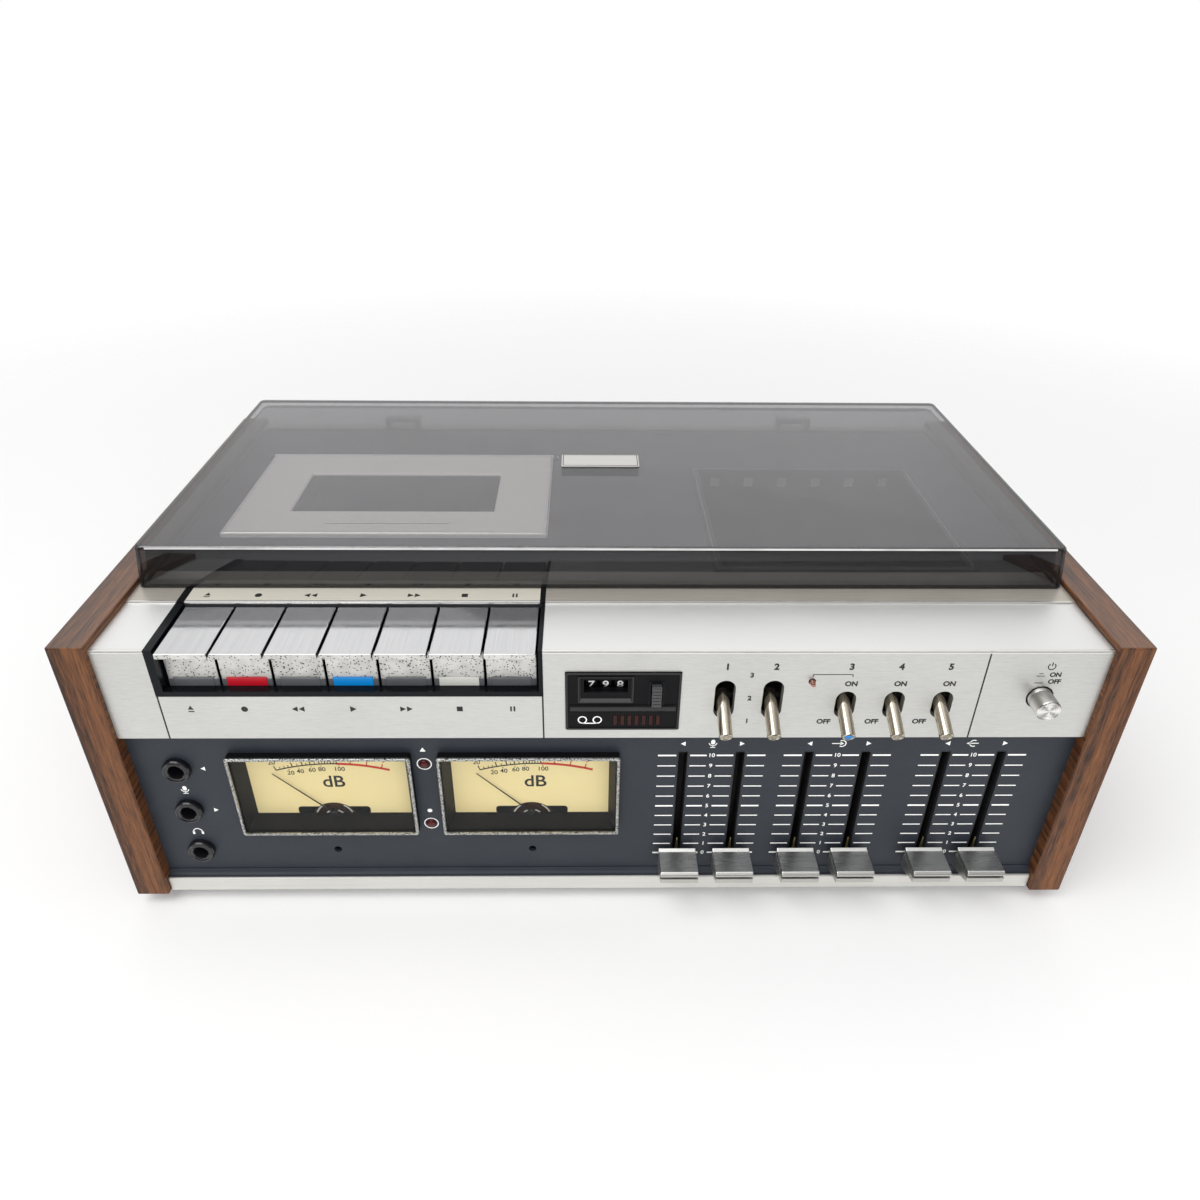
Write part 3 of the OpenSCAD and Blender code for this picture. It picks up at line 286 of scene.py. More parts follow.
@dataclass(frozen=True)
class Walnut(Finish):
    """Dark veneer: short fine pores over long bands, upright on front and rear edges, paler on top with
    painted sheen.
    """

    dark: Colour = (0.030, 0.0115, 0.006)
    pale: Colour = (0.240, 0.087, 0.025)
    # Paler tone of upward faces: painted sheen of overhead light.
    dusty: Colour = (0.46, 0.39, 0.36)
    pores: float = 1300.0
    pore_draw: float = 0.07
    pore_weight: float = 0.65
    front_bands: float = 170.0
    side_bands: float = 420.0
    band_draw: float = 0.016
    band_weight: float = 0.8
    crumble: float = 0.62
    steep: float = 0.36
    tones: Span = (0.58, 0.95)
    fade: float = 0.16
    fade_slope: Span = (0.6, 0.95)
    rough: float = 0.52
    pore_gloss: float = 0.14
    relief: float = 0.00012
    shine: float = 0.35

    def grain(self, paint: Paint, side: float, front: float, draw: float, detail: float) -> Wire:
        """A noise drawn out along the depth, or along the height where the wood faces front or rear.

        Args:
            paint: that the nodes go into.
            side: waves a metre on sides and top.
            front: waves a metre on front and rear.
            draw: share of the waves that is left along the grain.
            detail: of the noise.

        Returns:
            The noise, from nought to one.
        """
        end = paint.faces("Y")
        upright = (end * end) > self.steep
        along_depth = paint.noise(side, (1.0, draw, 1.0), detail, self.crumble)
        along_height = paint.noise(front, (1.0, 1.0, draw), detail, self.crumble)
        return along_depth + upright * (along_height - along_depth)

    def dress(self, paint: Paint) -> None:
        """Pores and bands in tone, pores in gloss and relief, and painted sheen that makes the top paler.

        Args:
            paint: that is filled.
        """
        pores = self.grain(paint, self.pores, self.pores, self.pore_draw, 4.0)
        bands = self.grain(paint, self.side_bands, self.front_bands, self.band_draw, 5.0)
        share = (pores * self.pore_weight + bands * self.band_weight).between(*self.tones)
        # Painted sheen: upward faces are mixed towards the paler tone.
        top_sheen_share = paint.faces("Z").between(*self.fade_slope) * self.fade
        paint.set(Base_Color=paint.mix(top_sheen_share, paint.mix(share, self.dark, self.pale), self.dusty))
        paint.set(Roughness=self.rough - self.pore_gloss * pores, Normal=paint.bump(pores, self.relief))
        paint.set(Specular_IOR_Level=self.shine)


@dataclass(frozen=True)
class Brushed(Finish):
    """Metal brushed along one axis: long streaks in tone, gloss and relief; its crown is a painted highlight
    that makes tops paler.
    """

    colour: Colour = (0.76, 0.76, 0.73)
    dark: Colour = (0.56, 0.56, 0.54)
    stretch: Point = (0.012, 1.0, 1.0)
    streaks: float = 2600.0
    rough: float = 0.36
    metal: float = 0.85
    relief: float = 0.00002
    # Share of painted highlight on upward faces.
    crown: float = 0.0
    crown_tone: Colour = (1.0, 1.0, 0.99)
    crown_slope: Span = (0.6, 0.9)
    clouds: float = 28.0
    weights: Span = (0.8, 0.35)
    tones: Span = (0.25, 0.85)
    gloss: Span = (0.16, 0.06)

    def dress(self, paint: Paint) -> None:
        """Streaks from a noise drawn out along the brushing, clouds from a soft one.

        Args:
            paint: that is filled.
        """
        streak = paint.noise(self.streaks, self.stretch, 2.0, 0.7)
        cloud = paint.noise(self.clouds, detail=4.0)
        share = (streak * self.weights[0] + cloud * self.weights[1]).between(*self.tones)
        tone = paint.mix(share, self.dark, self.colour)
        # Painted highlight: upward faces are mixed towards a paler tone.
        if self.crown:
            on_top = paint.faces("Z").between(*self.crown_slope) * self.crown
            tone = paint.mix(on_top, tone, self.crown_tone)
        paint.set(Base_Color=tone, Metallic=self.metal)
        paint.set(Roughness=self.rough + self.gloss[0] * streak + self.gloss[1] * cloud)
        paint.set(Normal=paint.bump(streak, self.relief))


@dataclass(frozen=True)
class Satin(Finish):
    """Paint, plastic or rubber: even colour with a fine grain, soft blotches and some dust."""

    colour: Colour
    dust: Colour
    grain: float = 1800.0
    rough: float = 0.45
    relief: float = 0.00004
    coat: float = 0.0
    shine: float = 0.5
    blotches: float = 46.0
    tones: Span = (0.45, 0.85)
    spread: float = 0.16
    coat_rough: float = 0.08

    def dress(self, paint: Paint) -> None:
        """Grain in relief, blotches in tone and gloss.

        Args:
            paint: that is filled.
        """
        grain = paint.noise(self.grain, detail=2.0)
        blotch = paint.noise(self.blotches, detail=5.0, rough=0.6)
        paint.set(Base_Color=paint.mix(blotch.between(*self.tones), self.colour, self.dust))
        paint.set(Roughness=self.rough - self.spread / 2 + self.spread * blotch)
        paint.set(Normal=paint.bump(grain, self.relief), Specular_IOR_Level=self.shine)
        paint.set(Coat_Weight=self.coat, Coat_Roughness=self.coat_rough)


@dataclass(frozen=True)
class RearPaint(Satin):
    """Crackled paint on the rear panel; the hinge ears above a level are left bare."""

    level: float = 0.147
    bare: Colour = (0.55, 0.55, 0.56)
    bare_metal: float = 0.8
    tones: Span = (0.4, 0.8)
    spread: float = 0.1

    def dress(self, paint: Paint) -> None:
        """Paint below the level, bare metal above it.

        Args:
            paint: that is filled.
        """
        grain = paint.noise(self.grain, detail=2.0)
        above = paint.axis("Z") > self.level
        painted = paint.mix(grain.between(*self.tones), self.colour, self.dust)
        paint.set(Base_Color=paint.mix(above, painted, self.bare), Metallic=above * self.bare_metal)
        paint.set(Roughness=self.rough + self.spread * grain, Normal=paint.bump(grain, self.relief))


@dataclass(frozen=True)
class KeyMetal(Finish):
    """Plated key: bright lengthwise-polished top, pitted matte skirt, sides darkened with painted shade for
    the gaps between keys.
    """

    bright: Colour = (0.72, 0.72, 0.73)
    dull: Colour = (0.64, 0.64, 0.65)
    matte: Colour = (0.84, 0.83, 0.80)
    shade: Colour = (0.66, 0.655, 0.63)
    pit: Colour = (0.02, 0.02, 0.018)
    # Colour of the sides: painted shade for the gaps between keys.
    bare: Colour = (0.015, 0.015, 0.016)
    metal: float = 0.95
    streaks: float = 1500.0
    clouds: float = 170.0
    pits: float = 900.0
    pit_spread: float = 0.25
    pit_edge: Span = (0.34, 0.39)
    top_slope: Span = (0.35, 0.6)
    side_slope: Span = (0.5, 0.8)
    rough: float = 0.44
    polish: float = 0.42
    relief: float = 0.00006

    def dress(self, paint: Paint) -> None:
        """Parts facing up are polished, the rest is cast and pitted where round cells have their middles.

        Args:
            paint: that is filled.
        """
        on_top = paint.faces("Z").between(*self.top_slope)
        streak = paint.noise(self.streaks, (1.0, 0.02, 1.0), 2.0, 0.6)
        cloud = paint.noise(self.clouds, detail=3.0)
        cell = {"Vector": paint.place(), "Scale": self.pits}
        away = paint.wire("ShaderNodeTexVoronoi", None, cell, "Distance") + self.pit_spread * cloud
        sound = away.between(*self.pit_edge)
        cast = paint.mix(sound, self.pit, paint.mix(cloud.between(0.35, 0.65), self.shade, self.matte))
        plated = paint.mix(on_top, cast, paint.mix(streak.between(0.2, 0.8), self.dull, self.bright))
        # Painted shade: faces that look across are darkened.
        side = paint.faces("X")
        cut = (side * side).between(*self.side_slope)
        paint.set(Base_Color=paint.mix(cut, plated, self.bare), Metallic=self.metal)
        paint.set(Roughness=self.rough + 0.1 * cloud - on_top * (self.polish - 0.04 * streak))
        paint.set(Normal=paint.bump(sound * (1.0 - on_top) + streak * on_top * 0.01, self.relief))


@dataclass(frozen=True)
class Plated(Finish):
    """Turned or plated metal with smudges and worn specks."""

    colour: Colour
    speck: Colour
    rough: float = 0.2
    wear: float = 0.25
    streaks: Point = (1.0, 1.0, 1.0)
    grain: float = 1700.0
    bare: Span = (0.62, 0.74)
    metal: float = 0.95
    smudges: float = 240.0
    gloss: Span = (0.1, 0.3)
    relief: float = 0.000003

    def dress(self, paint: Paint) -> None:
        """Smudges in gloss, specks in tone where a fine noise peaks.

        Args:
            paint: that is filled.
        """
        smudge = paint.noise(self.smudges, detail=3.0)
        fine = paint.noise(self.grain, self.streaks, 3.0, 0.7)
        worn = fine.between(*self.bare) * self.wear
        paint.set(Base_Color=paint.mix(worn, self.colour, self.speck), Metallic=self.metal)
        paint.set(Roughness=self.rough + self.gloss[0] * smudge + self.gloss[1] * worn)
        paint.set(Normal=paint.bump(fine, self.relief))


@dataclass(frozen=True)
class TurnedFace(Finish):
    """Turned metal: fine rings about an axis to the user, and the opposite fans of light they throw, painted
    into the colour as bright and dark wedges.
    """

    middle: Point
    # Bright and dark tones of the painted fans of light.
    colour: Colour = (0.92, 0.91, 0.88)
    dark: Colour = (0.36, 0.35, 0.33)
    metal: float = 0.95
    rings: float = 9000.0
    fans: float = 4.0
    fan_turn: float = 1.2
    weights: Span = (0.8, 0.2)
    rough: float = 0.2
    ring_gloss: float = 0.12
    relief: float = 0.00001

    def dress(self, paint: Paint) -> None:
        """Painted highlight and shade in fans from the angle about the axis, rings from the distance to it.

        Args:
            paint: that is filled.
        """
        across = paint.axis("X") - self.middle[0]
        up = paint.axis("Z") - self.middle[2]
        angle = across.math("ARCTAN2", up, across)
        reach = (across * across + up * up) ** 0.5
        # Painted highlight and shade: wedges around the axis.
        painted_fan = (angle * self.fans + self.fan_turn).wave()
        ring = (reach * self.rings).wave()
        share = painted_fan * self.weights[0] + self.weights[1] * ring
        paint.set(Base_Color=paint.mix(share, self.dark, self.colour), Metallic=self.metal)
        paint.set(Roughness=self.rough + self.ring_gloss * ring, Normal=paint.bump(ring, self.relief))


@dataclass(frozen=True)
class DialCard(Finish):
    """Printed cream card, warmer in soft clouds, with a fine paper grain."""

    colour: Colour = (0.95, 0.81, 0.43)
    warm: Colour = (0.82, 0.63, 0.27)
    clouds: float = 24.0
    tones: Span = (0.3, 0.8)
    warmth: float = 0.5
    fibres: float = 2600.0
    rough: float = 0.62
    relief: float = 0.00002

    def dress(self, paint: Paint) -> None:
        """Soft clouds of tone over a fibre grain.

        Args:
            paint: that is filled.
        """
        cloud = paint.noise(self.clouds, detail=3.0)
        fibre = paint.noise(self.fibres, detail=2.0)
        paint.set(Base_Color=paint.mix(cloud.between(*self.tones) * self.warmth, self.colour, self.warm))
        paint.set(Roughness=self.rough + 0.1 * fibre, Normal=paint.bump(fibre, self.relief))


@dataclass(frozen=True)
class Clear(Finish):
    """Clear or smoky sheet: a tint for each face that light passes, and a mirror that grows to the rim."""

    tint: Colour
    sheen: Colour = (0.9, 0.9, 0.9)
    rough: float = 0.036
    haze: float = 0.02
    gloss: float = 0.04
    rim_gloss: float = 0.45
    rim_power: float = 5.0
    metal: float = 0.9
    dust: float = 60.0
    film_slope: Span = (0.3, 0.9)

    def dress(self, paint: Paint) -> None:
        """Mixes a see-through tint with a mirror, whose share grows to the rim, and a thin film of dust.

        Args:
            paint: that is filled.
        """
        dust = paint.noise(self.dust, detail=6.0, rough=0.65)
        facing = paint.wire("ShaderNodeLayerWeight", None, {"Blend": 0.5}, "Facing")
        mirror = self.gloss + self.rim_gloss * facing ** self.rim_power
        film = (0.85 + 0.3 * dust) * paint.faces("Z").between(*self.film_slope) * self.haze
        paint.set(Base_Color=self.sheen, Metallic=self.metal, Roughness=self.rough * (1.0 + dust))
        through = paint.node("ShaderNodeBsdfTransparent", None, {"Color": self.tint})
        paint.blend(mirror + film, through, paint.shader)


@dataclass(frozen=True)
class Ink(Finish):
    """Screen-printed ink, a little uneven."""

    colour: Colour
    thin: Colour
    patches: float = 900.0
    tones: Span = (0.5, 0.8)
    rough: float = 0.5
    spread: float = 0.15

    def dress(self, paint: Paint) -> None:
        """Ink that is thinner where a fine noise is high.

        Args:
            paint: that is filled.
        """
        patch = paint.noise(self.patches, detail=3.0)
        paint.set(Base_Color=paint.mix(patch.between(*self.tones), self.colour, self.thin))
        paint.set(Roughness=self.rough + self.spread * patch)


WALNUT = Walnut("walnut_veneer", "walnut")

# crown paints a highlight on the fascia's top.
FASCIA_SILVER = Brushed("fascia_silver", "silver", stretch=(0.05, 1.0, 1.0), streaks=4200.0,
                        relief=0.000012, crown=0.75)
TRIM_SILVER = Brushed("trim_silver", "silver", (0.84, 0.83, 0.79), (0.70, 0.69, 0.65), rough=0.42)
STRIP_SILVER = Brushed("strip_silver", "deck_grey", (0.80, 0.76, 0.65), (0.68, 0.65, 0.56),
                       rough=0.30, metal=0.2)
WARM_STRIP = Brushed("warm_strip", "deck_grey", (0.64, 0.59, 0.52), (0.44, 0.41, 0.36), rough=0.26, metal=0.5)
BRIGHT_EDGE = Brushed("bright_edge", "silver", (0.92, 0.91, 0.88), (0.78, 0.77, 0.74), rough=0.18, metal=0.95)
DECK_GREY = Brushed("deck_grey_brushed", "deck_grey", (0.048, 0.050, 0.058), (0.034, 0.035, 0.041),
                    rough=0.46, metal=0.3, relief=0.000001)
LID_SILVER = Brushed("lid_silver", "deck_grey", (0.96, 0.91, 0.88), (0.86, 0.81, 0.78), rough=0.34, metal=0.1)
# crown paints a highlight on the knob tops.
FADER_METAL = Brushed("fader_metal", "fader_silver", (0.58, 0.575, 0.54), (0.48, 0.475, 0.44),
                      rough=0.18, metal=0.95, crown=0.6)
LEVER_METAL = Brushed("lever_nickel", "fader_silver", (0.86, 0.79, 0.66), (0.34, 0.29, 0.22),
                      stretch=(1.0, 0.01, 0.01), streaks=900.0, rough=0.04, metal=0.98)
SHEET_STEEL = Brushed("sheet_steel_zinc", "sheet_steel", (0.56, 0.57, 0.57), (0.42, 0.43, 0.44),
                      stretch=(1.0, 1.0, 1.0), streaks=160.0, rough=0.4, metal=0.9, relief=0.00001)

CHARCOAL = Satin("charcoal_paint", "charcoal", (0.021, 0.026, 0.035), (0.030, 0.036, 0.046),
                 grain=2400.0, rough=0.5, shine=0.4)
BLACK_PLASTIC = Satin("black_plastic_moulded", "black_plastic", (0.006, 0.006, 0.007), (0.010, 0.010, 0.010),
                      shine=0.1)
JACK_BLACK = Satin("jack_black_gloss", "black_plastic", (0.006, 0.006, 0.008), (0.012, 0.012, 0.014),
                   rough=0.16, relief=0.000006, shine=0.6)
COUNTER_GREY = Satin("counter_grey_plastic", "black_plastic", (0.008, 0.008, 0.008), (0.014, 0.014, 0.014),
                     rough=0.3)
# Lighter grey: the reset button's own colour, and the painted highlight on the digit frame's lower slope.
GREY_AND_SLOPE_HIGHLIGHT = Satin("counter_grey_and_slope_highlight", "black_plastic", (0.055, 0.055, 0.057), (0.075, 0.075, 0.077),
                   rough=0.3)
WELL_PLASTIC = Satin("well_plastic", "black_plastic", (0.004, 0.005, 0.007), (0.009, 0.009, 0.011),
                     rough=0.2, relief=0.000008, shine=0.15)
GREY_PLASTIC = Satin("smoky_grey_plastic", "black_plastic", (0.10, 0.105, 0.115), (0.07, 0.074, 0.08),
                     rough=0.2, coat=0.5)
RED_PLASTIC = Satin("red_plastic", "red_lens", (0.52, 0.004, 0.016), (0.44, 0.006, 0.018),
                    rough=0.34, coat=0.1)
BLUE_PLASTIC = Satin("blue_plastic", "red_lens", (0.0015, 0.23, 0.64), (0.003, 0.20, 0.54),
                     rough=0.34, coat=0.1)
WHITE_PLASTIC = Satin("white_plastic", "dial_card", (0.62, 0.62, 0.58), (0.5, 0.5, 0.46), rough=0.4, coat=0.3)
LAMP_RED = Satin("lamp_red_dim", "red_lens", (0.060, 0.004, 0.005), (0.11, 0.008, 0.008),
                 rough=0.2, coat=0.3, shine=0.3)
BAR_RED = Satin("bar_red_dim", "red_lens", (0.036, 0.009, 0.006), (0.022, 0.005, 0.004), rough=0.4, shine=0.2)
RIM_LINE = Satin("rim_line_grey", "deck_grey", (0.12, 0.12, 0.125), (0.09, 0.09, 0.095), rough=0.4)
TAB_GREY = Satin("tab_grey", "deck_grey", (0.17, 0.17, 0.18), (0.12, 0.12, 0.13), rough=0.5)
# Pale line on the cover's front edge: painted highlight.
EDGE_HIGHLIGHT = Satin("cover_edge_highlight_paint", "smoked_cover", (0.62, 0.62, 0.61), (0.30, 0.30, 0.30),
                  rough=0.3, coat=0.5)
# Near-black lines in the cover's edges: painted shade.
EDGE_SHADE = Satin("cover_edge_shade_paint", "smoked_cover", (0.012, 0.012, 0.013), (0.02, 0.02, 0.02), rough=0.15)
BLACK_STEEL = Satin("black_steel_crackle", "black_steel", (0.02, 0.02, 0.021), (0.035, 0.035, 0.035),
                    grain=700.0, rough=0.5, relief=0.0001)
REAR_BLACK = RearPaint("rear_black_crackle", "black_steel", (0.018, 0.018, 0.019), (0.03, 0.03, 0.03),
                       grain=700.0, rough=0.5, relief=0.0001)
RUBBER = Satin("foot_rubber", "rubber", (0.012, 0.012, 0.012), (0.03, 0.03, 0.03),
               grain=900.0, rough=0.7, relief=0.00008)
CASE_BLACK = Satin("control_case_black", "control_case", (0.006, 0.006, 0.006), (0.012, 0.012, 0.012),
                   rough=0.7)
BOARD = Satin("board_lacquer", "board_green", (0.05, 0.11, 0.03), (0.08, 0.15, 0.05), grain=300.0, rough=0.35)

KEY_METAL = KeyMetal("key_metal", "key_chrome")
RIM_METAL = Plated("bezel_rim_worn", "silver", (0.60, 0.60, 0.58), (0.03, 0.03, 0.03),
                   rough=0.34, wear=1.0, grain=1500.0, bare=(0.48, 0.58))
ROD_STEEL = Plated("rod_steel", "steel_rod", (0.62, 0.62, 0.63), (0.36, 0.36, 0.36))
BRASS = Plated("plated_brass", "plated_brass", (0.72, 0.58, 0.30), (0.42, 0.32, 0.16), rough=0.24)
SCREW_STEEL = Plated("screw_steel", "black_steel", (0.12, 0.12, 0.12), (0.30, 0.29, 0.27),
                     rough=0.36, wear=0.4)
DOME_BRONZE = Plated("dome_bronze", "needle_black", (0.10, 0.055, 0.035), (0.02, 0.012, 0.01),
                     rough=0.3, wear=0.8, grain=500.0)
STUB_ROSE = Plated("stub_rose", "red_lens", (0.50, 0.25, 0.20), (0.24, 0.05, 0.03), rough=0.18, wear=0.5)
PLATE_BARE = Plated("plate_bare", "silver", (0.66, 0.65, 0.62), (0.50, 0.49, 0.46),
                    rough=0.3, wear=0.6, streaks=(0.02, 1.0, 1.0))
DIAL = DialCard("dial_card_cream", "dial_card")

SMOKE = Clear("smoky_acrylic", "smoked_cover", (0.79, 0.785, 0.79), (0.62, 0.62, 0.63), haze=0.15)
# Darker copy of the smoke for the upright walls: painted shade.
SMOKE_WALL_SHADED = Clear("smoky_acrylic_wall_shaded", "smoked_cover", (0.48, 0.48, 0.485), (0.52, 0.52, 0.53),
                   rough=0.005, gloss=0.09)
LUG_CLEAR = Clear("hinge_lug_clear", "smoked_cover", (0.95, 0.95, 0.95), (0.62, 0.62, 0.63))
WINDOW_SMOKE = Clear("lid_window_smoke", "smoked_window", (0.30, 0.30, 0.31))
METER_GLASS = Clear("meter_lens_clear", "clear_lens", (0.99, 0.99, 0.985), (0.28, 0.28, 0.28))

BLACK_INK = Ink("black_ink", "black_plastic", (0.012, 0.012, 0.013), (0.04, 0.04, 0.04))
WHITE_INK = Ink("white_ink", "dial_card", (0.96, 0.96, 0.94), (0.86, 0.86, 0.84))
RED_INK = Ink("red_ink", "red_lens", (0.62, 0.03, 0.015), (0.5, 0.05, 0.03))


def rounded(across: Span, up: Span, radius: float, steps: int = 4) -> Array:
    """Outline of a rectangle with round corners: four quarter circles about their own centres.

    Args:
        across: left and right.
        up: lower and upper edge.
        radius: of the corners.
        steps: segments in each corner.

    Returns:
        Points of the closed outline, anticlockwise.
    """
    turn = np.arange(4)[:, None] * np.pi / 2 + np.linspace(0.0, np.pi / 2, steps + 1)[None, :]
    left, right = across[0] + radius, across[1] - radius
    low, high = up[0] + radius, up[1] - radius
    middle_x = np.array([right, left, left, right])[:, None]
    middle_y = np.array([high, high, low, low])[:, None]
    points = np.stack([middle_x + radius * np.cos(turn), middle_y + radius * np.sin(turn)], axis=-1)
    return points.reshape(-1, 2)


def rectangle(across: Span, up: Span) -> Array:
    """Outline of a plain rectangle: its four corners."""
    return rounded(across, up, 0.0, 0)


def round_outline(radius: float, middle: Span = (0.0, 0.0), steps: int = 24,
                  turn: Span = (0.0, 360.0)) -> Array:
    """Points on a circle, or on a part of it: middle plus radius times cosine and sine.

    Args:
        radius: of the circle.
        middle: of the circle.
        steps: count of points.
        turn: first and last angle in degrees.

    Returns:
        The points, anticlockwise.
    """
    whole = turn[1] - turn[0] >= 360.0
    angle = np.radians(np.linspace(turn[0], turn[1], steps, endpoint=not whole))
    return np.stack([middle[0] + radius * np.cos(angle), middle[1] + radius * np.sin(angle)], axis=1)


def arc_band(radius: float, width: float, middle: Span, turn: Span, steps: int = 32) -> Array:
    """Outline of a strip of a ring: out along its outer circle and back along its inner one."""
    outer, inner = (round_outline(radius + side * width / 2, middle, steps, turn) for side in (1, -1))
    return np.concatenate([outer, inner[::-1]])


def stroke(start: Span, end: Span, width: float) -> Array:
    """Outline of a straight line of some width, as a rectangle along it.

    Args:
        start: of the line's middle.
        end: of the line's middle.
        width: of the line.

    Returns:
        The four corners.
    """
    first, last = np.asarray(start, float), np.asarray(end, float)
    along = (last - first) / np.linalg.norm(last - first)
    side = np.array([along[1], -along[0]]) * width / 2
    return np.array([first + side, last + side, last - side, first - side])


def raised(outline: Array, height: float) -> Array:
    """Points of a flat outline with one height added."""
    return np.hstack([outline, np.full((len(outline), 1), height)])


def turned(points: Array, angle: float) -> Array:
    """Flat points turned clockwise by an angle in degrees: each keeps its distance from the origin."""
    cos, sin = math.cos(math.radians(angle)), math.sin(math.radians(angle))
    return points @ np.array([[cos, -sin], [sin, cos]])


class Solid:
    """Closed shapes gathered for one piece, in drawing millimetres."""

    def __init__(self) -> None:
        """Starts with no shape."""
        self.points: list[Array] = []
        self.faces: list[list[int]] = []
        self.count = 0

    def add(self, points: Array, faces: Sequence[Sequence[int]]) -> "Solid":
        """Adds points and the faces between them.

        Args:
            points: of the shape.
            faces: corners of each face, counted from the first of these points.

        Returns:
            This solid.
        """
        self.faces += [[self.count + corner for corner in face] for face in faces]
        self.points.append(points)
        self.count += len(points)
        return self

    def loft(self, rings: Sequence[Array], closed: bool = False) -> "Solid":
        """Skin over rings of equal count: each point is joined to the same point of the next ring.

        Args:
            rings: one array of points for each station.
            closed: True to join the last ring to the first, else both ends get a cap.

        Returns:
            This solid.
        """
        stack = np.stack(rings)
        stations, around = stack.shape[:2]
        rows = np.arange(stations if closed else stations - 1)
        row, column = np.meshgrid(rows, np.arange(around), indexing="ij")
        next_row, next_column = (row + 1) % stations, (column + 1) % around
        corners = [row * around + column, row * around + next_column,
                   next_row * around + next_column, next_row * around + column]
        faces = np.stack(corners, axis=-1).reshape(-1, 4).tolist()
        if not closed:
            faces.append(np.arange(around)[::-1].tolist())
            faces.append(((stations - 1) * around + np.arange(around)).tolist())
        return self.add(stack.reshape(-1, 3), faces)

    def prism(self, outline: Array, facing: Facing, origin: Point, out: Span) -> "Solid":
        """A flat outline carried straight out of a side, from one distance to another."""
        return self.loft([facing.lay(raised(outline, height), origin) for height in out])

    def run(self, outline: Profile, across: Span) -> "Solid":
        """An outline of depth and height carried along the width."""
        return self.prism(np.asarray(outline, float), Facing.RIGHT, ORIGIN, across)

    def block(self, low: Point, high: Point) -> "Solid":
        """A box between two opposite corners."""
        outline = rectangle((low[0], high[0]), (low[1], high[1]))
        return self.prism(outline, Facing.TOP, ORIGIN, (low[2], high[2]))

    def lathe(self, profile: Profile, facing: Facing, origin: Point, turns: int = 40,
              closed: bool = False) -> "Solid":
        """A profile of radius and height turned about the way out of a side; closed makes it a tube."""
        rings = [raised(round_outline(radius, steps=turns), height) for radius, height in profile]
        return self.loft([facing.lay(ring, origin) for ring in rings], closed)

    def leaning(self, profile: Profile, origin: Point, fall: float, turns: int = 28) -> "Solid":
        """A profile turned about an axis that points to the user and falls.

        Args:
            profile: pairs of radius and distance along the axis.
            origin: start of the axis.
            fall: angle below the level, in degrees.
            turns: count of points around.

        Returns:
            This solid.
        """
        lean = math.radians(fall)
        out = np.array([0.0, -math.cos(lean), -math.sin(lean)])
        up = np.array([0.0, -math.sin(lean), math.cos(lean)])
        circle = round_outline(1.0, steps=turns)
        plane = circle[:, :1] * np.array([1.0, 0.0, 0.0]) + circle[:, 1:] * up
        return self.loft([np.asarray(origin) + plane * radius + out * along for radius, along in profile])

    def frames(self, rings: Rings, facing: Facing,
               origin: Point = ORIGIN) -> "Solid":
        """A closed moulding: rings of across, up, corner radius and way out, joined into a hollow frame."""
        loops = [raised(rounded(across, up, radius), out) for across, up, radius, out in rings]
        return self.loft([facing.lay(loop, origin) for loop in loops], closed=True)

    def moulding(self, across: Span, up: Span, steps: Steps, facing: Facing,
                 origin: Point = ORIGIN) -> "Solid":
        """A hollow frame of one rectangle in steps, each with its inset, corner radius and way out."""
        rings = [((across[0] + inset, across[1] - inset), (up[0] + inset, up[1] - inset), radius, out)
                 for inset, radius, out in steps]
        return self.frames(rings, facing, origin)

    def line_frame(self, across: Span, up: Span, radius: float, width: float, out: Span, facing: Facing,
                   origin: Point = ORIGIN) -> "Solid":
        """A flat line around a rectangle, inside its edges, from one distance out to another."""
        steps = [(inset, radius, out[end]) for inset, end in ((0.0, 0), (0.0, 1), (width, 1), (width, 0))]
        return self.moulding(across, up, steps, facing, origin)

    def hoop(self, profile: Profile, facing: Facing, origin: Point) -> "Solid":
        """A ring made of nearly round frames, from pairs of radius and way out."""
        rings = [((-radius, radius), (-radius, radius), radius - 0.01, out) for radius, out in profile]
        return self.frames(rings, facing, origin)

    def letters(self, text: str, size: float, facing: Facing, origin: Point, round_r: float = 0.0,
                weight: float = PLAIN_WEIGHT) -> "Solid":
        """Solid characters in the plain built-in typeface, centred on an origin.

        Args:
            text: what is written.
            size: height of the line in millimetres.
            facing: the side that it is written on.
            origin: its middle.
            round_r: radius of a drum, about the X axis through the origin, that the text is wrapped on.
            weight: growth of the strokes, as a share of the size.

        Returns:
            This solid.
        """
        curve = bpy.data.curves.new("letters", "FONT")
        curve.body, curve.size, curve.extrude, curve.offset = text, size, 0.03, weight * size
        curve.align_x, curve.align_y = "CENTER", "CENTER"
        holder = bpy.data.objects.new("letters", curve)
        mesh = bpy.data.meshes.new_from_object(holder)
        if round_r:
            self.band(mesh, np.linspace(-size / 2, size / 2, 12))
        flat = np.empty(len(mesh.vertices) * 3)
        mesh.vertices.foreach_get("co", flat)
        flat = flat.reshape(-1, 3)
        faces = [list(face.vertices) for face in mesh.polygons]
        bpy.data.objects.remove(holder)
        bpy.data.curves.remove(curve)
        bpy.data.meshes.remove(mesh)
        if round_r:
            angle = flat[:, 1] / round_r
            reach = round_r + flat[:, 2]
            flat = np.stack([flat[:, 0], reach * np.sin(angle), reach * np.cos(angle)], axis=1)
        return self.add(facing.lay(flat, origin), faces)

    def band(self, mesh: bpy.types.Mesh, heights: Array) -> None:
        """Cuts a flat mesh across at some heights, so that it can be bent.

        Args:
            mesh: that is cut.
            heights: of the cuts.
        """
        work = bmesh.new()
        work.from_mesh(mesh)
        for height in heights:
            everything = [*work.verts, *work.edges, *work.faces]
            bmesh.ops.bisect_plane(work, geom=everything, plane_co=(0, height, 0), plane_no=(0, 1, 0))
        work.to_mesh(mesh)
        work.free()

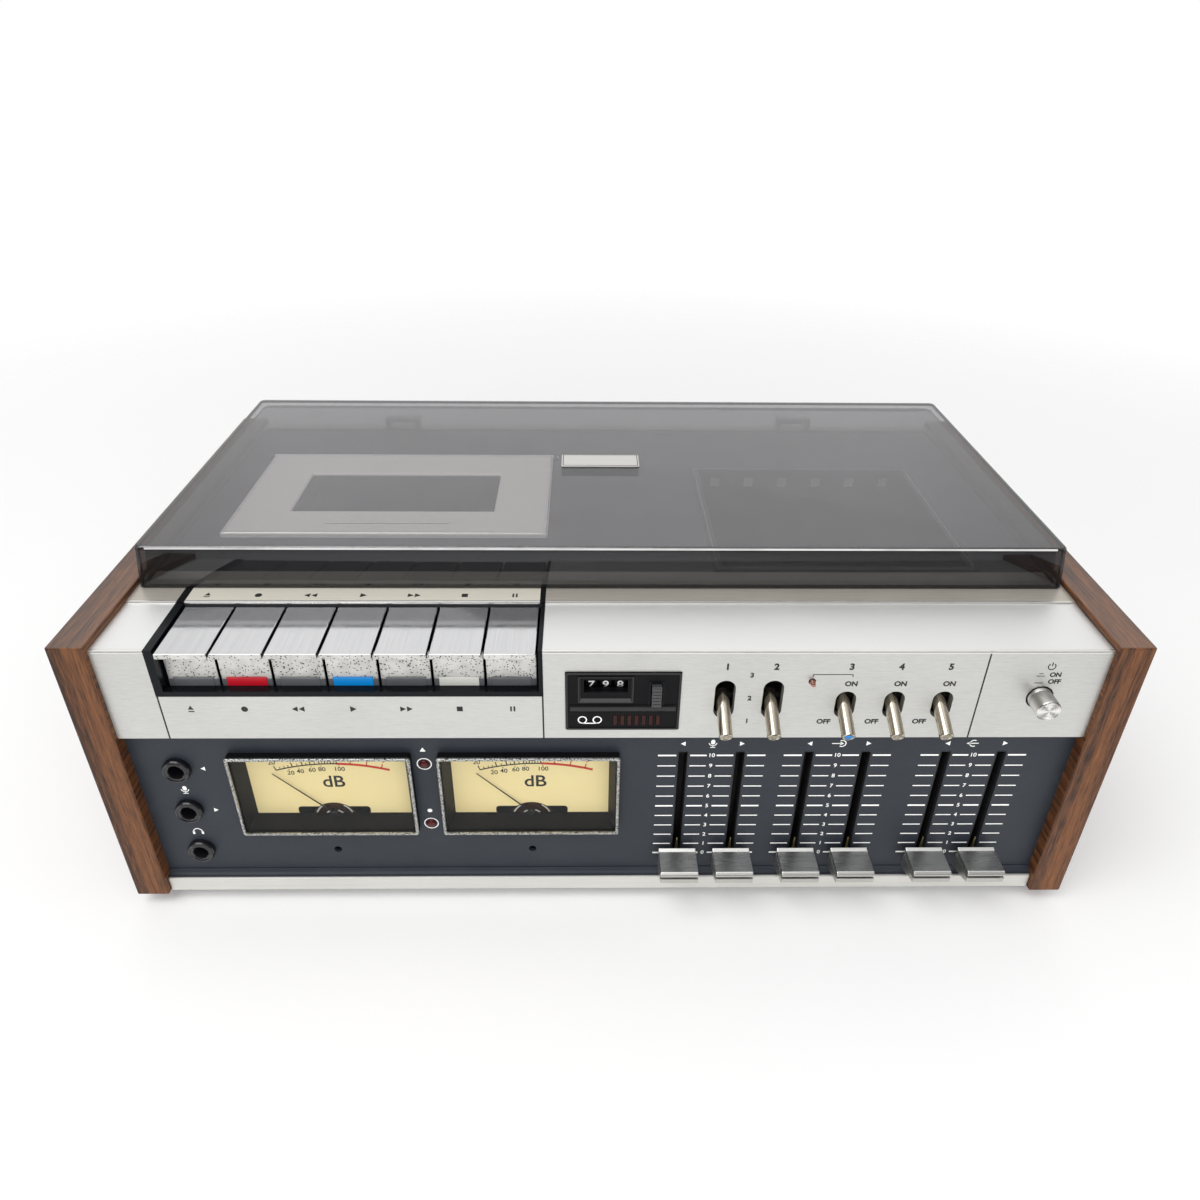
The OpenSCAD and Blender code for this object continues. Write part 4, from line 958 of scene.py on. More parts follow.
    def mesh(self, name: str) -> bpy.types.Mesh:
        """The gathered shapes in metres in the part's frame, doubles merged and faces turned outwards.

        Args:
            name: of the mesh.

        Returns:
            The new mesh.
        """
        points = np.concatenate(self.points) * MM + (0.0, CORNER.y, CORNER.z)
        mesh = bpy.data.meshes.new(name)
        mesh.from_pydata(points, [], self.faces)
        work = bmesh.new()
        work.from_mesh(mesh)
        bmesh.ops.remove_doubles(work, verts=work.verts, dist=1e-7)
        bmesh.ops.recalc_face_normals(work, faces=work.faces)
        work.to_mesh(mesh)
        work.free()
        return mesh

    def build(self, name: str, finish: Finish, body: str = "case", hides: Sequence[str] = (),
              bevel: float = 0.0, smooth: float = 0.0) -> bpy.types.Object:
        """Makes the piece.

        Args:
            name: of the piece.
            finish: that it is dressed in.
            body: that it moves with.
            hides: CAD nodes that it stands for.
            bevel: width of rounded edges in millimetres, or nought.
            smooth: angle in degrees below which faces shade smoothly, or nought.

        Returns:
            The new object.
        """
        mesh = self.mesh(name)
        if smooth:
            mesh.shade_smooth()
            mesh.set_sharp_from_angle(angle=math.radians(smooth))
        piece = bpy.data.objects.new(name, mesh)
        bpy.context.scene.collection.objects.link(piece)
        mesh.materials.append(finish.material())
        if bevel:
            edge = piece.modifiers.new("edges", "BEVEL")
            edge.width, edge.segments, edge.limit_method = bevel * MM, 3, "ANGLE"
        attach(piece, body)
        if hides:
            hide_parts(*hides)
        LOG.info("%s: %d faces on %s", name, len(mesh.polygons), body)
        return piece


def dress_node(name: str, finish: Finish) -> None:
    """Gives a CAD node a finish in its own material slots.

    Args:
        name: of the node.
        finish: that it is dressed in.
    """
    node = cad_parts[name]
    if not node.material_slots:
        node.data.materials.append(finish.material())
    for slot in node.material_slots:
        slot.material = finish.material()
    LOG.info("%s: dressed in %s", name, finish.name)


@dataclass
class Symbols:
    """Plain transport and channel symbols, each drawn about a middle on one side."""

    facing: Facing
    level: float
    thick: float = 0.04
    solid: Solid = field(default_factory=Solid)

    def spot(self, middle: Span) -> Point:
        """The place in space of a spot on this side."""
        right, up, out = np.array(self.facing.value, float)
        return tuple(right * middle[0] + up * middle[1] + np.abs(out) * self.level)

    def shape(self, outline: Array, middle: Span) -> None:
        """Prints one outline about a middle."""
        self.solid.prism(outline, self.facing, self.spot(middle), (0.0, self.thick))

    def triangle(self, middle: Span, size: float, turn: float) -> None:
        """A triangle that points along an angle in degrees."""
        self.shape(round_outline(size, (0.0, 0.0), 3, (turn, turn + 360.0)), middle)

    def bar(self, middle: Span, width: float, height: float) -> None:
        """A plain rectangle."""
        self.shape(rectangle((-width / 2, width / 2), (-height / 2, height / 2)), middle)

    def disc(self, middle: Span, radius: float) -> None:
        """A filled circle."""
        self.shape(round_outline(radius), middle)

    def ring(self, middle: Span, radius: float, width: float, turn: Span = (0.0, 359.0)) -> None:
        """A circle, or part of one, as a line of some width."""
        self.shape(arc_band(radius, width, (0.0, 0.0), turn), middle)

    def line(self, start: Span, end: Span, width: float) -> None:
        """A straight line."""
        self.shape(stroke(start, end, width), (0.0, 0.0))

    def words(self, text: str, middle: Span, size: float, weight: float = PLAIN_WEIGHT) -> None:
        """Plain numbers or ON and OFF, with strokes grown by a share of the size."""
        self.solid.letters(text, size, self.facing, self.spot(middle), weight=weight)

    def transport(self, key: Transport, middle: Span, size: float) -> None:
        """The usual symbol of a key.

        Args:
            key: one of the seven.
            middle: of the symbol.
            size: about half its height.
        """
        x, up = middle
        step = size * 0.8
        if key is Transport.EJECT:
            self.triangle((x, up + size * 0.25), size * 0.8, 90.0)
            self.bar((x, up - size * 0.7), size * 1.4, size * 0.3)
        elif key is Transport.RECORD:
            self.disc(middle, size * 0.8)
        elif key in (Transport.REWIND, Transport.FORWARD):
            for shift in (-step, step):
                self.triangle((x + shift, up), size * 0.9, 180.0 if key is Transport.REWIND else 0.0)
        elif key is Transport.PLAY:
            self.triangle(middle, size, 0.0)
        elif key is Transport.STOP:
            self.bar(middle, size * 1.4, size * 1.4)
        else:
            for shift in (-step / 2, step / 2):
                self.bar((x + shift, up), size * 0.4, size * 1.5)


@dataclass
class Cabinet:
    """Wooden cheeks, chassis, trim, rear panel with its sockets, feet and screws."""

    half_out: float = 220.0
    depth: float = 248.0
    height: float = 142.5
    trim_back: float = 6.5
    trim_top: float = 8.0
    rear: float = 244.0
    foot_x: float = 173.0
    foot_y: Span = (34.5, 210.5)
    foot_profile: Profile = ((9.6, -7.0), (10.6, -6.6), (11.0, -5.4), (10.7, -3.2), (10.2, -2.2),
                             (10.8, -1.4), (11.0, 0.0))
    screw_edge: float = 12.0
    screw_floor: Places = (20.5, 124.0, 230.5)
    screw_dome: Profile = ((3.0, 0.0), (3.0, 0.5), (2.7, 1.0), (1.9, 1.35), (0.6, 1.48))
    recess_half: Span = (1.6, 0.3)
    recess_out: Span = (1.0, 1.5)
    socket_x: Places = (-170.0, -150.0, -120.0, -100.0)
    socket_z: float = 40.0
    socket_plate: float = 8.0
    socket_shell: Profile = ((1.6, 1.5), (1.6, 9.2), (2.6, 9.2), (2.7, 6.0), (3.3, 6.0), (3.4, 9.4),
                             (3.9, 9.5), (4.15, 9.2), (4.15, 1.0))
    socket_collar: Profile = ((4.2, 1.5), (6.4, 1.5), (6.4, 2.2), (6.0, 2.6), (4.2, 2.6))
    gland: Span = (160.0, 30.0)
    gland_ribs: Profile = ((7.0, 0.0), (7.0, 1.2), (6.1, 1.4), (6.1, 2.0), (6.8, 2.2), (6.8, 3.0), (5.9, 3.2),
                           (5.9, 3.8), (6.4, 4.0), (6.2, 4.8), (5.6, 5.0), (3.5, 5.0), (3.5, 1.0))
    print_pairs: Pairs = ((160.0, 1.0), (110.0, -1.0))
    print_half: Span = (21.0, 14.0)
    arrow_z: float = 59.0
    arrow_half: float = 4.0
    channel_z: float = 50.5
    channel_shift: float = 10.0

    def build(self) -> None:
        """Builds the pieces from the outside in."""
        self.cheeks()
        self.trim()
        self.feet()
        self.screws()
        self.sockets()
        dress_node("chassis", SHEET_STEEL)
        dress_node("rear_panel", REAR_BLACK)
        self.rear_printing()

    def cheeks(self) -> None:
        """Two veneered boards with small rounded edges."""
        for name, left in (("left_cheek", -self.half_out), ("right_cheek", HALF_IN)):
            board = Solid().block((left, 0.0, 0.0), (left + self.half_out - HALF_IN, self.depth, self.height))
            board.build(name + "_veneered", WALNUT, hides=[name], bevel=0.9)

    def trim(self) -> None:
        """Silver strip along the foot of the front."""
        strip = Solid().block((-HALF_IN, FASCIA_FRONT, 0.0), (HALF_IN, self.trim_back, self.trim_top))
        strip.build("bottom_trim_strip", TRIM_SILVER, hides=["bottom_trim"], bevel=0.7)

    def feet(self) -> None:
        """Turned rubber feet: wide foot, hollow waist, flat seat."""
        solid = Solid()
        for x in (-self.foot_x, self.foot_x):
            for y in self.foot_y:
                solid.lathe(self.foot_profile, Facing.TOP, (x, y, 0.0))
        solid.build("feet_rubber", RUBBER, hides=["feet"], smooth=40)

    def screws(self) -> None:
        """Domed heads on the rear panel, each with a crossed recess, and plain ones under the floor."""
        heads, slots = Solid(), Solid()
        edge = HALF_IN - self.screw_edge
        for x in (-edge, 0.0, edge):
            for z in (self.screw_edge, FASCIA_TOP - self.screw_edge):
                heads.lathe(self.screw_dome, Facing.BACK, (x, self.rear, z), 24)
                for half_w, half_h in (self.recess_half, self.recess_half[::-1]):
                    bar = rectangle((-half_w, half_w), (-half_h, half_h))
                    slots.prism(bar, Facing.BACK, (x, self.rear, z), self.recess_out)
        upside = [(radius, -out) for radius, out in self.screw_dome]
        for x in (-edge, edge):
            for y in self.screw_floor:
                heads.lathe(upside, Facing.TOP, (x, y, 0.0), 24)
        heads.build("screw_heads", SCREW_STEEL, hides=["screws"], smooth=40)
        slots.build("screw_recesses", BLACK_PLASTIC)

    def sockets(self) -> None:
        """Four rear phono sockets with coloured collars, and the ribbed gland of the mains lead."""
        shells, plates = Solid(), Solid()
        collars = {RED_PLASTIC: Solid(), WHITE_PLASTIC: Solid()}
        edges = (-self.socket_plate, self.socket_plate)
        for place, x in enumerate(self.socket_x):
            spot = (x, self.rear, self.socket_z)
            plates.prism(rounded(edges, edges, 1.2), Facing.BACK, spot, (0.0, 1.5))
            shells.lathe(self.socket_shell, Facing.BACK, spot)
            collars[WHITE_PLASTIC if place % 2 else RED_PLASTIC].lathe(self.socket_collar, Facing.BACK, spot)
        plates.build("socket_plates", BLACK_PLASTIC, bevel=0.3)
        shells.build("socket_shells", BRASS, hides=["rear_connectors"], smooth=35)
        for finish, solid in collars.items():
            solid.build("socket_collars_" + finish.name, finish, smooth=35)
        spot = (self.gland[0], self.rear, self.gland[1])
        Solid().lathe(self.gland_ribs, Facing.BACK, spot).build("lead_gland", RUBBER, smooth=30)

    def rear_printing(self) -> None:
        """White frames around the socket pairs, with arrows in and out and channel triangles."""
        marks = Symbols(Facing.BACK, self.rear)
        half_w, half_h = self.print_half
        edges = (self.socket_z - half_h, self.socket_z + half_h)
        for middle, way in self.print_pairs:
            marks.solid.line_frame((middle - half_w, middle + half_w), edges, 2.0, 0.4, (-0.1, 0.05),
                                   Facing.BACK, (0.0, self.rear, 0.0))
            left, right = (middle - self.arrow_half, self.arrow_z), (middle + self.arrow_half, self.arrow_z)
            marks.line(left, right, 0.6)
            marks.triangle(right if way > 0.0 else left, 1.6, 0.0 if way > 0.0 else 180.0)
            for shift, turn in ((-self.channel_shift, 180.0), (self.channel_shift, 0.0)):
                marks.triangle((middle + shift, self.channel_z), 1.3, turn)
        marks.solid.build("rear_printing", WHITE_INK)


@dataclass
class Fascia:
    """Brushed silver front with its bright crease, seams, levers, lamp stub and power knob."""

    foot: float = 94.3
    well_foot: float = 116.6
    nose: Profile = ((1.3, -1.2), (1.3, 0.10), (0.75, 0.10), (0.30, 0.02), (0.06, -0.25), (-0.10, -0.7),
                     (-0.12, -1.2))
    seam: float = 155.0
    seam_inset: float = 0.35
    seam_half: float = 0.3
    seam_depth: Span = (0.1, 0.55)
    lever_x: Places = (49.2, 69.1, 99.7, 120.0, 140.2)
    lever_names: Names = ("bias_lever", "equaliser_lever", "noise_filter_lever", "copy_lever", "timer_lever")
    lever_axis: Span = (9.0, 112.7)
    lever_fall: float = 26.0
    lever_bat: Profile = ((1.6, -2.4), (2.5, -2.2), (2.9, -1.6), (2.9, 19.0), (2.75, 19.7), (2.45, 20.0),
                          (2.15, 19.98), (1.95, 19.75))
    lever_pin: Profile = ((1.6, -6.0), (1.6, 6.0))
    lever_dot: Profile = ((1.75, 19.6), (1.75, 19.95), (1.2, 20.1))
    dotted: int = 2
    power: Point = (180.3, FASCIA_FRONT, 115.9)
    power_profile: Profile = ((5.0, -20.0), (5.0, 1.6), (4.9, 1.8), (5.0, 2.0), (5.0, 8.6), (4.95, 9.1),
                              (4.7, 9.45), (4.35, 9.58), (4.2, 9.42), (3.4, 9.4), (3.3, 9.52), (2.6, 9.52),
                              (2.5, 9.4), (1.7, 9.38), (1.6, 9.5), (0.8, 9.45))
    power_ring: Profile = ((5.05, -0.1), (5.7, -0.1), (5.7, 0.06), (5.05, 0.06))
    stub: Point = (84.4, FASCIA_FRONT, 124.1)
    stub_profile: Profile = ((1.1, -4.0), (1.1, 2.0), (0.95, 2.6), (0.5, 2.9))
    key_signs: Places = (-171.0, -149.0, -126.6, -104.7, -82.8, -60.4, -38.5)
    key_sign_z: float = 110.0
    number_z: float = 131.4
    step_x: float = 59.5
    step_z: Places = (103.3, 115.4, 127.2)
    bracket_z: Span = (127.6, 126.3)
    power_words: tuple[tuple[str, float, float, float], ...] = (
        ("ON", 2.6, 127.4, 0.6), ("OFF", 3.0, 123.9, -0.6))

    def build(self) -> None:
        """Dresses the fascia and builds what stands on it."""
        dress_node("front_fascia", FASCIA_SILVER)
        dress_node("control_bodies", CASE_BLACK)
        self.crease()
        self.seams()
        self.levers()
        self.power_knob()
        self.lamp_stub()
        self.printing()

    def crease(self) -> None:
        """Bright rounded edge where the front turns into the top, open at the key well."""
        outline = np.array(self.nose) + (FASCIA_FRONT, FASCIA_TOP)
        solid = Solid().run(outline, (-HALF_IN, KEY_WELL[0])).run(outline, (KEY_WELL[1], HALF_IN))
        solid.build("fascia_crease", BRIGHT_EDGE)

    def seams(self) -> None:
        """Dark filling of the three upright seams."""
        solid = Solid()
        near, far = (FASCIA_FRONT + depth for depth in self.seam_depth)
        well_left, well_right = KEY_WELL[0] + self.seam_inset, KEY_WELL[1] - self.seam_inset
        for x, top in ((well_left, self.well_foot), (well_right, self.well_foot), (self.seam, FASCIA_TOP)):
            solid.block((x - self.seam_half, near, self.foot), (x + self.seam_half, far, top - 0.3))
        solid.build("fascia_seams", BLACK_INK)

    def levers(self) -> None:
        """Round bats on black cross pins, with a dished tip; one carries a blue dot."""
        for name, x in zip(self.lever_names, self.lever_x):
            bat = Solid().leaning(self.lever_bat, (x, *self.lever_axis), self.lever_fall)
            bat.build(name + "_bat", LEVER_METAL, name, [name], smooth=32)
            pin = Solid().lathe(self.lever_pin, Facing.RIGHT, (x, *self.lever_axis), 20)
            pin.build(name + "_pin", BLACK_PLASTIC, name, smooth=32)
        spot = (self.lever_x[self.dotted], *self.lever_axis)
        dot = Solid().leaning(self.lever_dot, spot, self.lever_fall, 20)
        dot.build("lever_dot", BLUE_PLASTIC, self.lever_names[self.dotted], smooth=30)

    def power_knob(self) -> None:
        """Turned knob: stepped rings on its face, a rounded rim and a plain shank, in a black collar."""
        middle = (self.power[0] * MM, 0.0, self.power[2] * MM + CORNER.z)
        finish = TurnedFace("power_knob_face", "fader_silver", middle)
        knob = Solid().lathe(self.power_profile, Facing.FRONT, self.power, 48)
        knob.build("power_knob_turned", finish, "power_knob", ["power_knob"], smooth=28)
        Solid().hoop(self.power_ring, Facing.FRONT, self.power).build("power_collar", BLACK_PLASTIC)

    def lamp_stub(self) -> None:
        """Small rose-coloured stub of the tell-tale lamp."""
        stub = Solid().lathe(self.stub_profile, Facing.FRONT, self.stub, 24)
        stub.build("tell_tale_stub", STUB_ROSE, smooth=35)

    def printing(self) -> None:
        """Key symbols, switch numbers, ON and OFF, the lamp's bracket and the power symbol in black."""
        marks = Symbols(Facing.FRONT, FASCIA_FRONT)
        for key, x in zip(Transport, self.key_signs):
            marks.transport(key, (x, self.key_sign_z), 1.75)
        for number, x in enumerate(self.lever_x, 1):
            marks.words(str(number), (x, self.number_z), 4.2, BOLD_WEIGHT)
        for number, up in enumerate(self.step_z, 1):
            marks.words(str(number), (self.step_x, up), 3.2, BOLD_WEIGHT)
        for x in self.lever_x[2:]:
            marks.words("ON", (x + 1.0, 122.8), 3.3, BOLD_WEIGHT)
            marks.words("OFF", (x - 7.8, 103.0), 3.3, BOLD_WEIGHT)
        left, right = self.stub[0], self.lever_x[self.dotted] + 1.0
        high, low = self.bracket_z
        marks.line((left, high), (right, high), 0.35)
        for x in (left, right):
            marks.line((x, high), (x, low), 0.35)
        self.power_signs(marks)
        marks.solid.build("fascia_printing", BLACK_INK)

    def power_signs(self, marks: Symbols) -> None:
        """The power symbol, ON and OFF, and pictures of the knob out and in.

        Args:
            marks: that they are printed with.
        """
        x = self.power[0] + 1.0
        marks.ring((x, 131.6), 1.5, 0.45, (125.0, 415.0))
        marks.bar((x, 132.8), 0.45, 1.8)
        for text, shift, up, _ in self.power_words:
            marks.words(text, (x + shift, up), 3.0, BOLD_WEIGHT)
        for _, _, up, lift in self.power_words:
            marks.line((x - 5.2, up - 0.6), (x - 1.6, up - 0.6), 0.3)
            marks.line((x - 4.3, up + lift), (x - 2.5, up + lift), 0.3)


@dataclass
class Keys:
    """Seven piano keys in their black well, and the label strip behind them."""

    inserts: ClassVar[dict[Transport, Finish]] = {
        Transport.RECORD: RED_PLASTIC, Transport.PLAY: BLUE_PLASTIC, Transport.STOP: WHITE_PLASTIC}
    middle: float = -103.75
    pitch: float = 21.7
    width: float = 20.9
    ease: float = 0.05
    front_top: float = 138.6
    back_top: float = 138.5
    lip_low: float = 136.0
    front: float = 1.2
    back: float = 36.4
    skirt: Span = (7.3, 9.3)
    skirt_foot: float = 117.5
    shaft: Span = (72.0, 122.0)
    hub: Span = (2.6, 6.0)
    strip: Span = (38.0, 49.0)
    strip_inset: Span = (3.6, 2.4)
    strip_nose: Profile = ((-0.15, -0.9), (1.2, -0.9), (1.2, 0.16), (0.55, 0.14), (0.1, 0.0), (-0.15, -0.35))
    strip_signs: Places = (-171.9, -150.0, -127.1, -105.1, -83.1, -60.8, -39.0)
    strip_sign_y: float = 43.4
    print_lift: float = 0.08

    def build(self) -> None:
        """Builds keys, inserts and label strip."""
        dress_node("key_well", WELL_PLASTIC)
        dress_node("key_shaft", ROD_STEEL)
        for place, key in enumerate(Transport):
            left = self.middle + (place - 3) * self.pitch - self.width / 2 + self.ease
            self.key(key, left, left + self.width - 2 * self.ease)
        self.label_strip()

    def key(self, key: Transport, left: float, right: float) -> None:
        """One key: sloping plate with a rounded lip, skirt, arm and hub, and its insert on a dark strip.

        Args:
            key: one of the seven.
            left: its left side.
            right: its right side.
        """
        name = key.value
        near, far = self.skirt
        axis, level = self.shaft
        outline = ((self.front, self.lip_low), (near, self.lip_low), (near, self.skirt_foot),
                   (far, self.skirt_foot), (far, self.lip_low), (self.back - 6.0, FASCIA_TOP - 6.0),
                   (axis, level - 3.0), (axis, level + 3.0), (self.back, FASCIA_TOP - 3.0),
                   (self.back, self.back_top), (self.front, self.front_top))
        bore, rim = self.hub
        solid = Solid().run(outline, (left, right))
        solid.hoop(((bore, left), (rim, left), (rim, right), (bore, right)), Facing.RIGHT, (0.0, *self.shaft))
        solid.build(name + "_plated", KEY_METAL, name, [name], bevel=0.45)
        strip = Solid().block((left + 0.15, near - 0.25, self.skirt_foot + 0.05),
                              (right - 0.15, near + 0.3, self.skirt_foot + 4.7))
        strip.build(name + "_strip", GREY_PLASTIC, name, bevel=0.2)
        insert = Solid().block((left + 2.2, near - 0.6, self.skirt_foot + 0.1),
                               (right - 2.2, near + 0.3, self.skirt_foot + 5.5))
        insert.build(name + "_insert", self.inserts.get(key, GREY_PLASTIC), name, bevel=0.3)

    def label_strip(self) -> None:
        """Warm silver strip with a bright rounded front edge, dark side lines and the key symbols."""
        left, right = KEY_WELL[0] + self.strip_inset[0], KEY_WELL[1] - self.strip_inset[1]
        near, far = self.strip[0], self.strip[1] + 1.5
        sheet = Solid().block((left, near + 0.9, DECK_TOP - 0.3), (right, far, DECK_TOP + self.print_lift))
        sheet.build("label_strip", STRIP_SILVER)
        edge = Solid().run(np.array(self.strip_nose) + (near, DECK_TOP), (left, right))
        edge.build("label_strip_edge", BRIGHT_EDGE)
        lines = Solid()
        for start, end in ((KEY_WELL[0] + 0.2, left), (right, KEY_WELL[1])):
            lines.block((start, near - 0.1, DECK_TOP - 0.4), (end, far, DECK_TOP + 0.1))
        lines.build("label_strip_lines", BLACK_PLASTIC)
        marks = Symbols(Facing.TOP, DECK_TOP + self.print_lift)
        for key, x in zip(Transport, self.strip_signs):
            marks.transport(key, (x, self.strip_sign_y), 1.9)
        marks.solid.build("label_strip_printing", BLACK_INK)


@dataclass
class Counter:
    """Tape counter: front plate, digit frame, number wheels, reset button and running bars."""

    plate: Point = (0.0, 2.1, 0.0)
    digit_frame: Rings = (
        ((-11.4, 11.4), (113.7, 127.0), 0.4, -0.4), ((-11.4, 11.4), (113.7, 127.0), 0.4, 0.5),
        ((-10.9, 10.9), (114.2, 126.5), 0.4, 0.6), ((-8.95, 9.05), (118.85, 125.15), 0.3, -1.5),
        ((-8.95, 9.05), (118.85, 125.15), 0.3, -2.0))
    rim: Edges = ((-16.5, 30.8), (99.3, 128.9))
    rim_width: float = 0.8
    ridge: Profile = ((-0.9, 110.0), (-0.7, 109.6), (0.4, 109.4), (0.4, 112.3), (-0.7, 112.1), (-0.9, 111.7))
    ridge_x: Span = (-14.7, 29.1)
    slope: Sequence[Point] = ((-10.7, 114.3, 0.58), (10.7, 114.3, 0.58), (8.9, 118.7, -1.4),
                              (-8.8, 118.7, -1.4))
    tape_x: Span = (-9.6, -3.4)
    tape_z: float = 104.4
    tape_foot: float = 102.6
    wheels: tuple[tuple[str, float, int], ...] = (("hundreds_wheel", -5.95, 7), ("tens_wheel", 0.05, 9),
                                                  ("units_wheel", 6.05, 8))
    wheel_axis: Span = (14.1, 122.0)
    wheel_profile: Profile = ((1.6, -2.5), (7.5, -2.5), (7.9, -2.15), (7.9, 2.15), (7.5, 2.5), (1.6, 2.5))
    figure_r: float = 7.9
    figure_size: float = 5.6
    figure_lean: float = -18.0
    button: tuple[Point, Point] = ((18.9, -0.1, 112.75), (22.9, 16.5, 123.05))
    rib_low: float = 113.3
    rib_pitch: float = 1.62
    rib_height: float = 0.9
    collar: Rings = (
        ((17.6, 24.2), (111.4, 124.4), 0.6, -0.3), ((17.6, 24.2), (111.4, 124.4), 0.6, 0.3),
        ((18.4, 23.4), (112.3, 123.5), 0.4, 0.3), ((18.4, 23.4), (112.3, 123.5), 0.4, -0.3))
    bar_middle: float = 13.05
    bar_pitch: float = 2.98
    bar_half: float = 0.8
    bar_z: Span = (101.8, 106.8)

    def build(self) -> None:
        """Builds the counter from its plate inwards."""
        dress_node("counter_case", BLACK_PLASTIC)
        self.mouldings()
        for name, x, shown in self.wheels:
            self.wheel(name, x, shown)
        self.reset()
        self.bars()

    def mouldings(self) -> None:
        """Bevelled frame around the digits, outer rim, the ridge, the slope plate that paints a highlight on
        the frame's lower slope, and a two-reel picture.
        """
        solid = Solid().frames(self.digit_frame, Facing.FRONT, self.plate)
        solid.line_frame(*self.rim, 0.8, self.rim_width, (-0.4, 0.35), Facing.FRONT, self.plate)
        solid.run(np.array(self.ridge) + (self.plate[1], 0.0), self.ridge_x)
        solid.build("counter_mouldings", COUNTER_GREY)
        # Painted highlight: a lighter plate laid on the frame's lower slope.
        lifts = [np.array(self.slope) + (0.0, 0.0, lift) for lift in (0.0, 0.06)]
        slope = Solid().loft([Facing.FRONT.lay(lift, self.plate) for lift in lifts])
        slope.build("counter_slope_highlight", GREY_AND_SLOPE_HIGHLIGHT)
        marks = Symbols(Facing.FRONT, self.plate[1])
        for x in self.tape_x:
            marks.ring((x, self.tape_z), 1.7, 0.5)
        marks.line((self.tape_x[0], self.tape_foot), (self.tape_x[1], self.tape_foot), 0.5)
        marks.solid.build("counter_tape_symbol", WHITE_INK)

    def wheel(self, name: str, x: float, shown: int) -> None:
        """A drum with rounded shoulders and ten figures around it; one of them faces the window.

        Args:
            name: of the wheel's node and body.
            x: its middle.
            shown: the figure in the window.
        """
        spot = (x, *self.wheel_axis)
        drum = Solid().lathe(self.wheel_profile, Facing.RIGHT, spot, 48, closed=True)
        drum.build(name + "_drum", BLACK_PLASTIC, name, [name], smooth=35)
        figures = Solid()
        for step in range(10):
            figures.letters(str(step), self.figure_size, Facing.FRONT, ORIGIN, self.figure_r)
            points = figures.points[-1]
            points[:, 1:] = turned(points[:, 1:], 36.0 * (step - shown) + self.figure_lean)
            figures.points[-1] = points + np.array(spot)
        figures.build(name + "_figures", WHITE_INK, name)

    def reset(self) -> None:
        """Ribbed push button in a sunk collar."""
        solid = Solid().block(*self.button)
        for low in self.rib_low + self.rib_pitch * np.arange(6):
            solid.block((19.2, -0.5, low), (22.6, 0.2, low + self.rib_height))
        solid.build("counter_reset_button", GREY_AND_SLOPE_HIGHLIGHT, "counter_reset", ["counter_reset"], bevel=0.15)
        Solid().frames(self.collar, Facing.FRONT, self.plate).build("reset_collar", WELL_PLASTIC)

    def bars(self) -> None:
        """Seven dim red running bars, slightly proud of the plate."""
        solid = Solid()
        for x in self.bar_middle + self.bar_pitch * np.arange(-3, 4):
            outline = rounded((x - self.bar_half, x + self.bar_half), self.bar_z, 0.25)
            solid.prism(outline, Facing.FRONT, self.plate, (-3.0, 0.12))
        solid.build("running_bars", BAR_RED, hides=["indicator_lenses"])


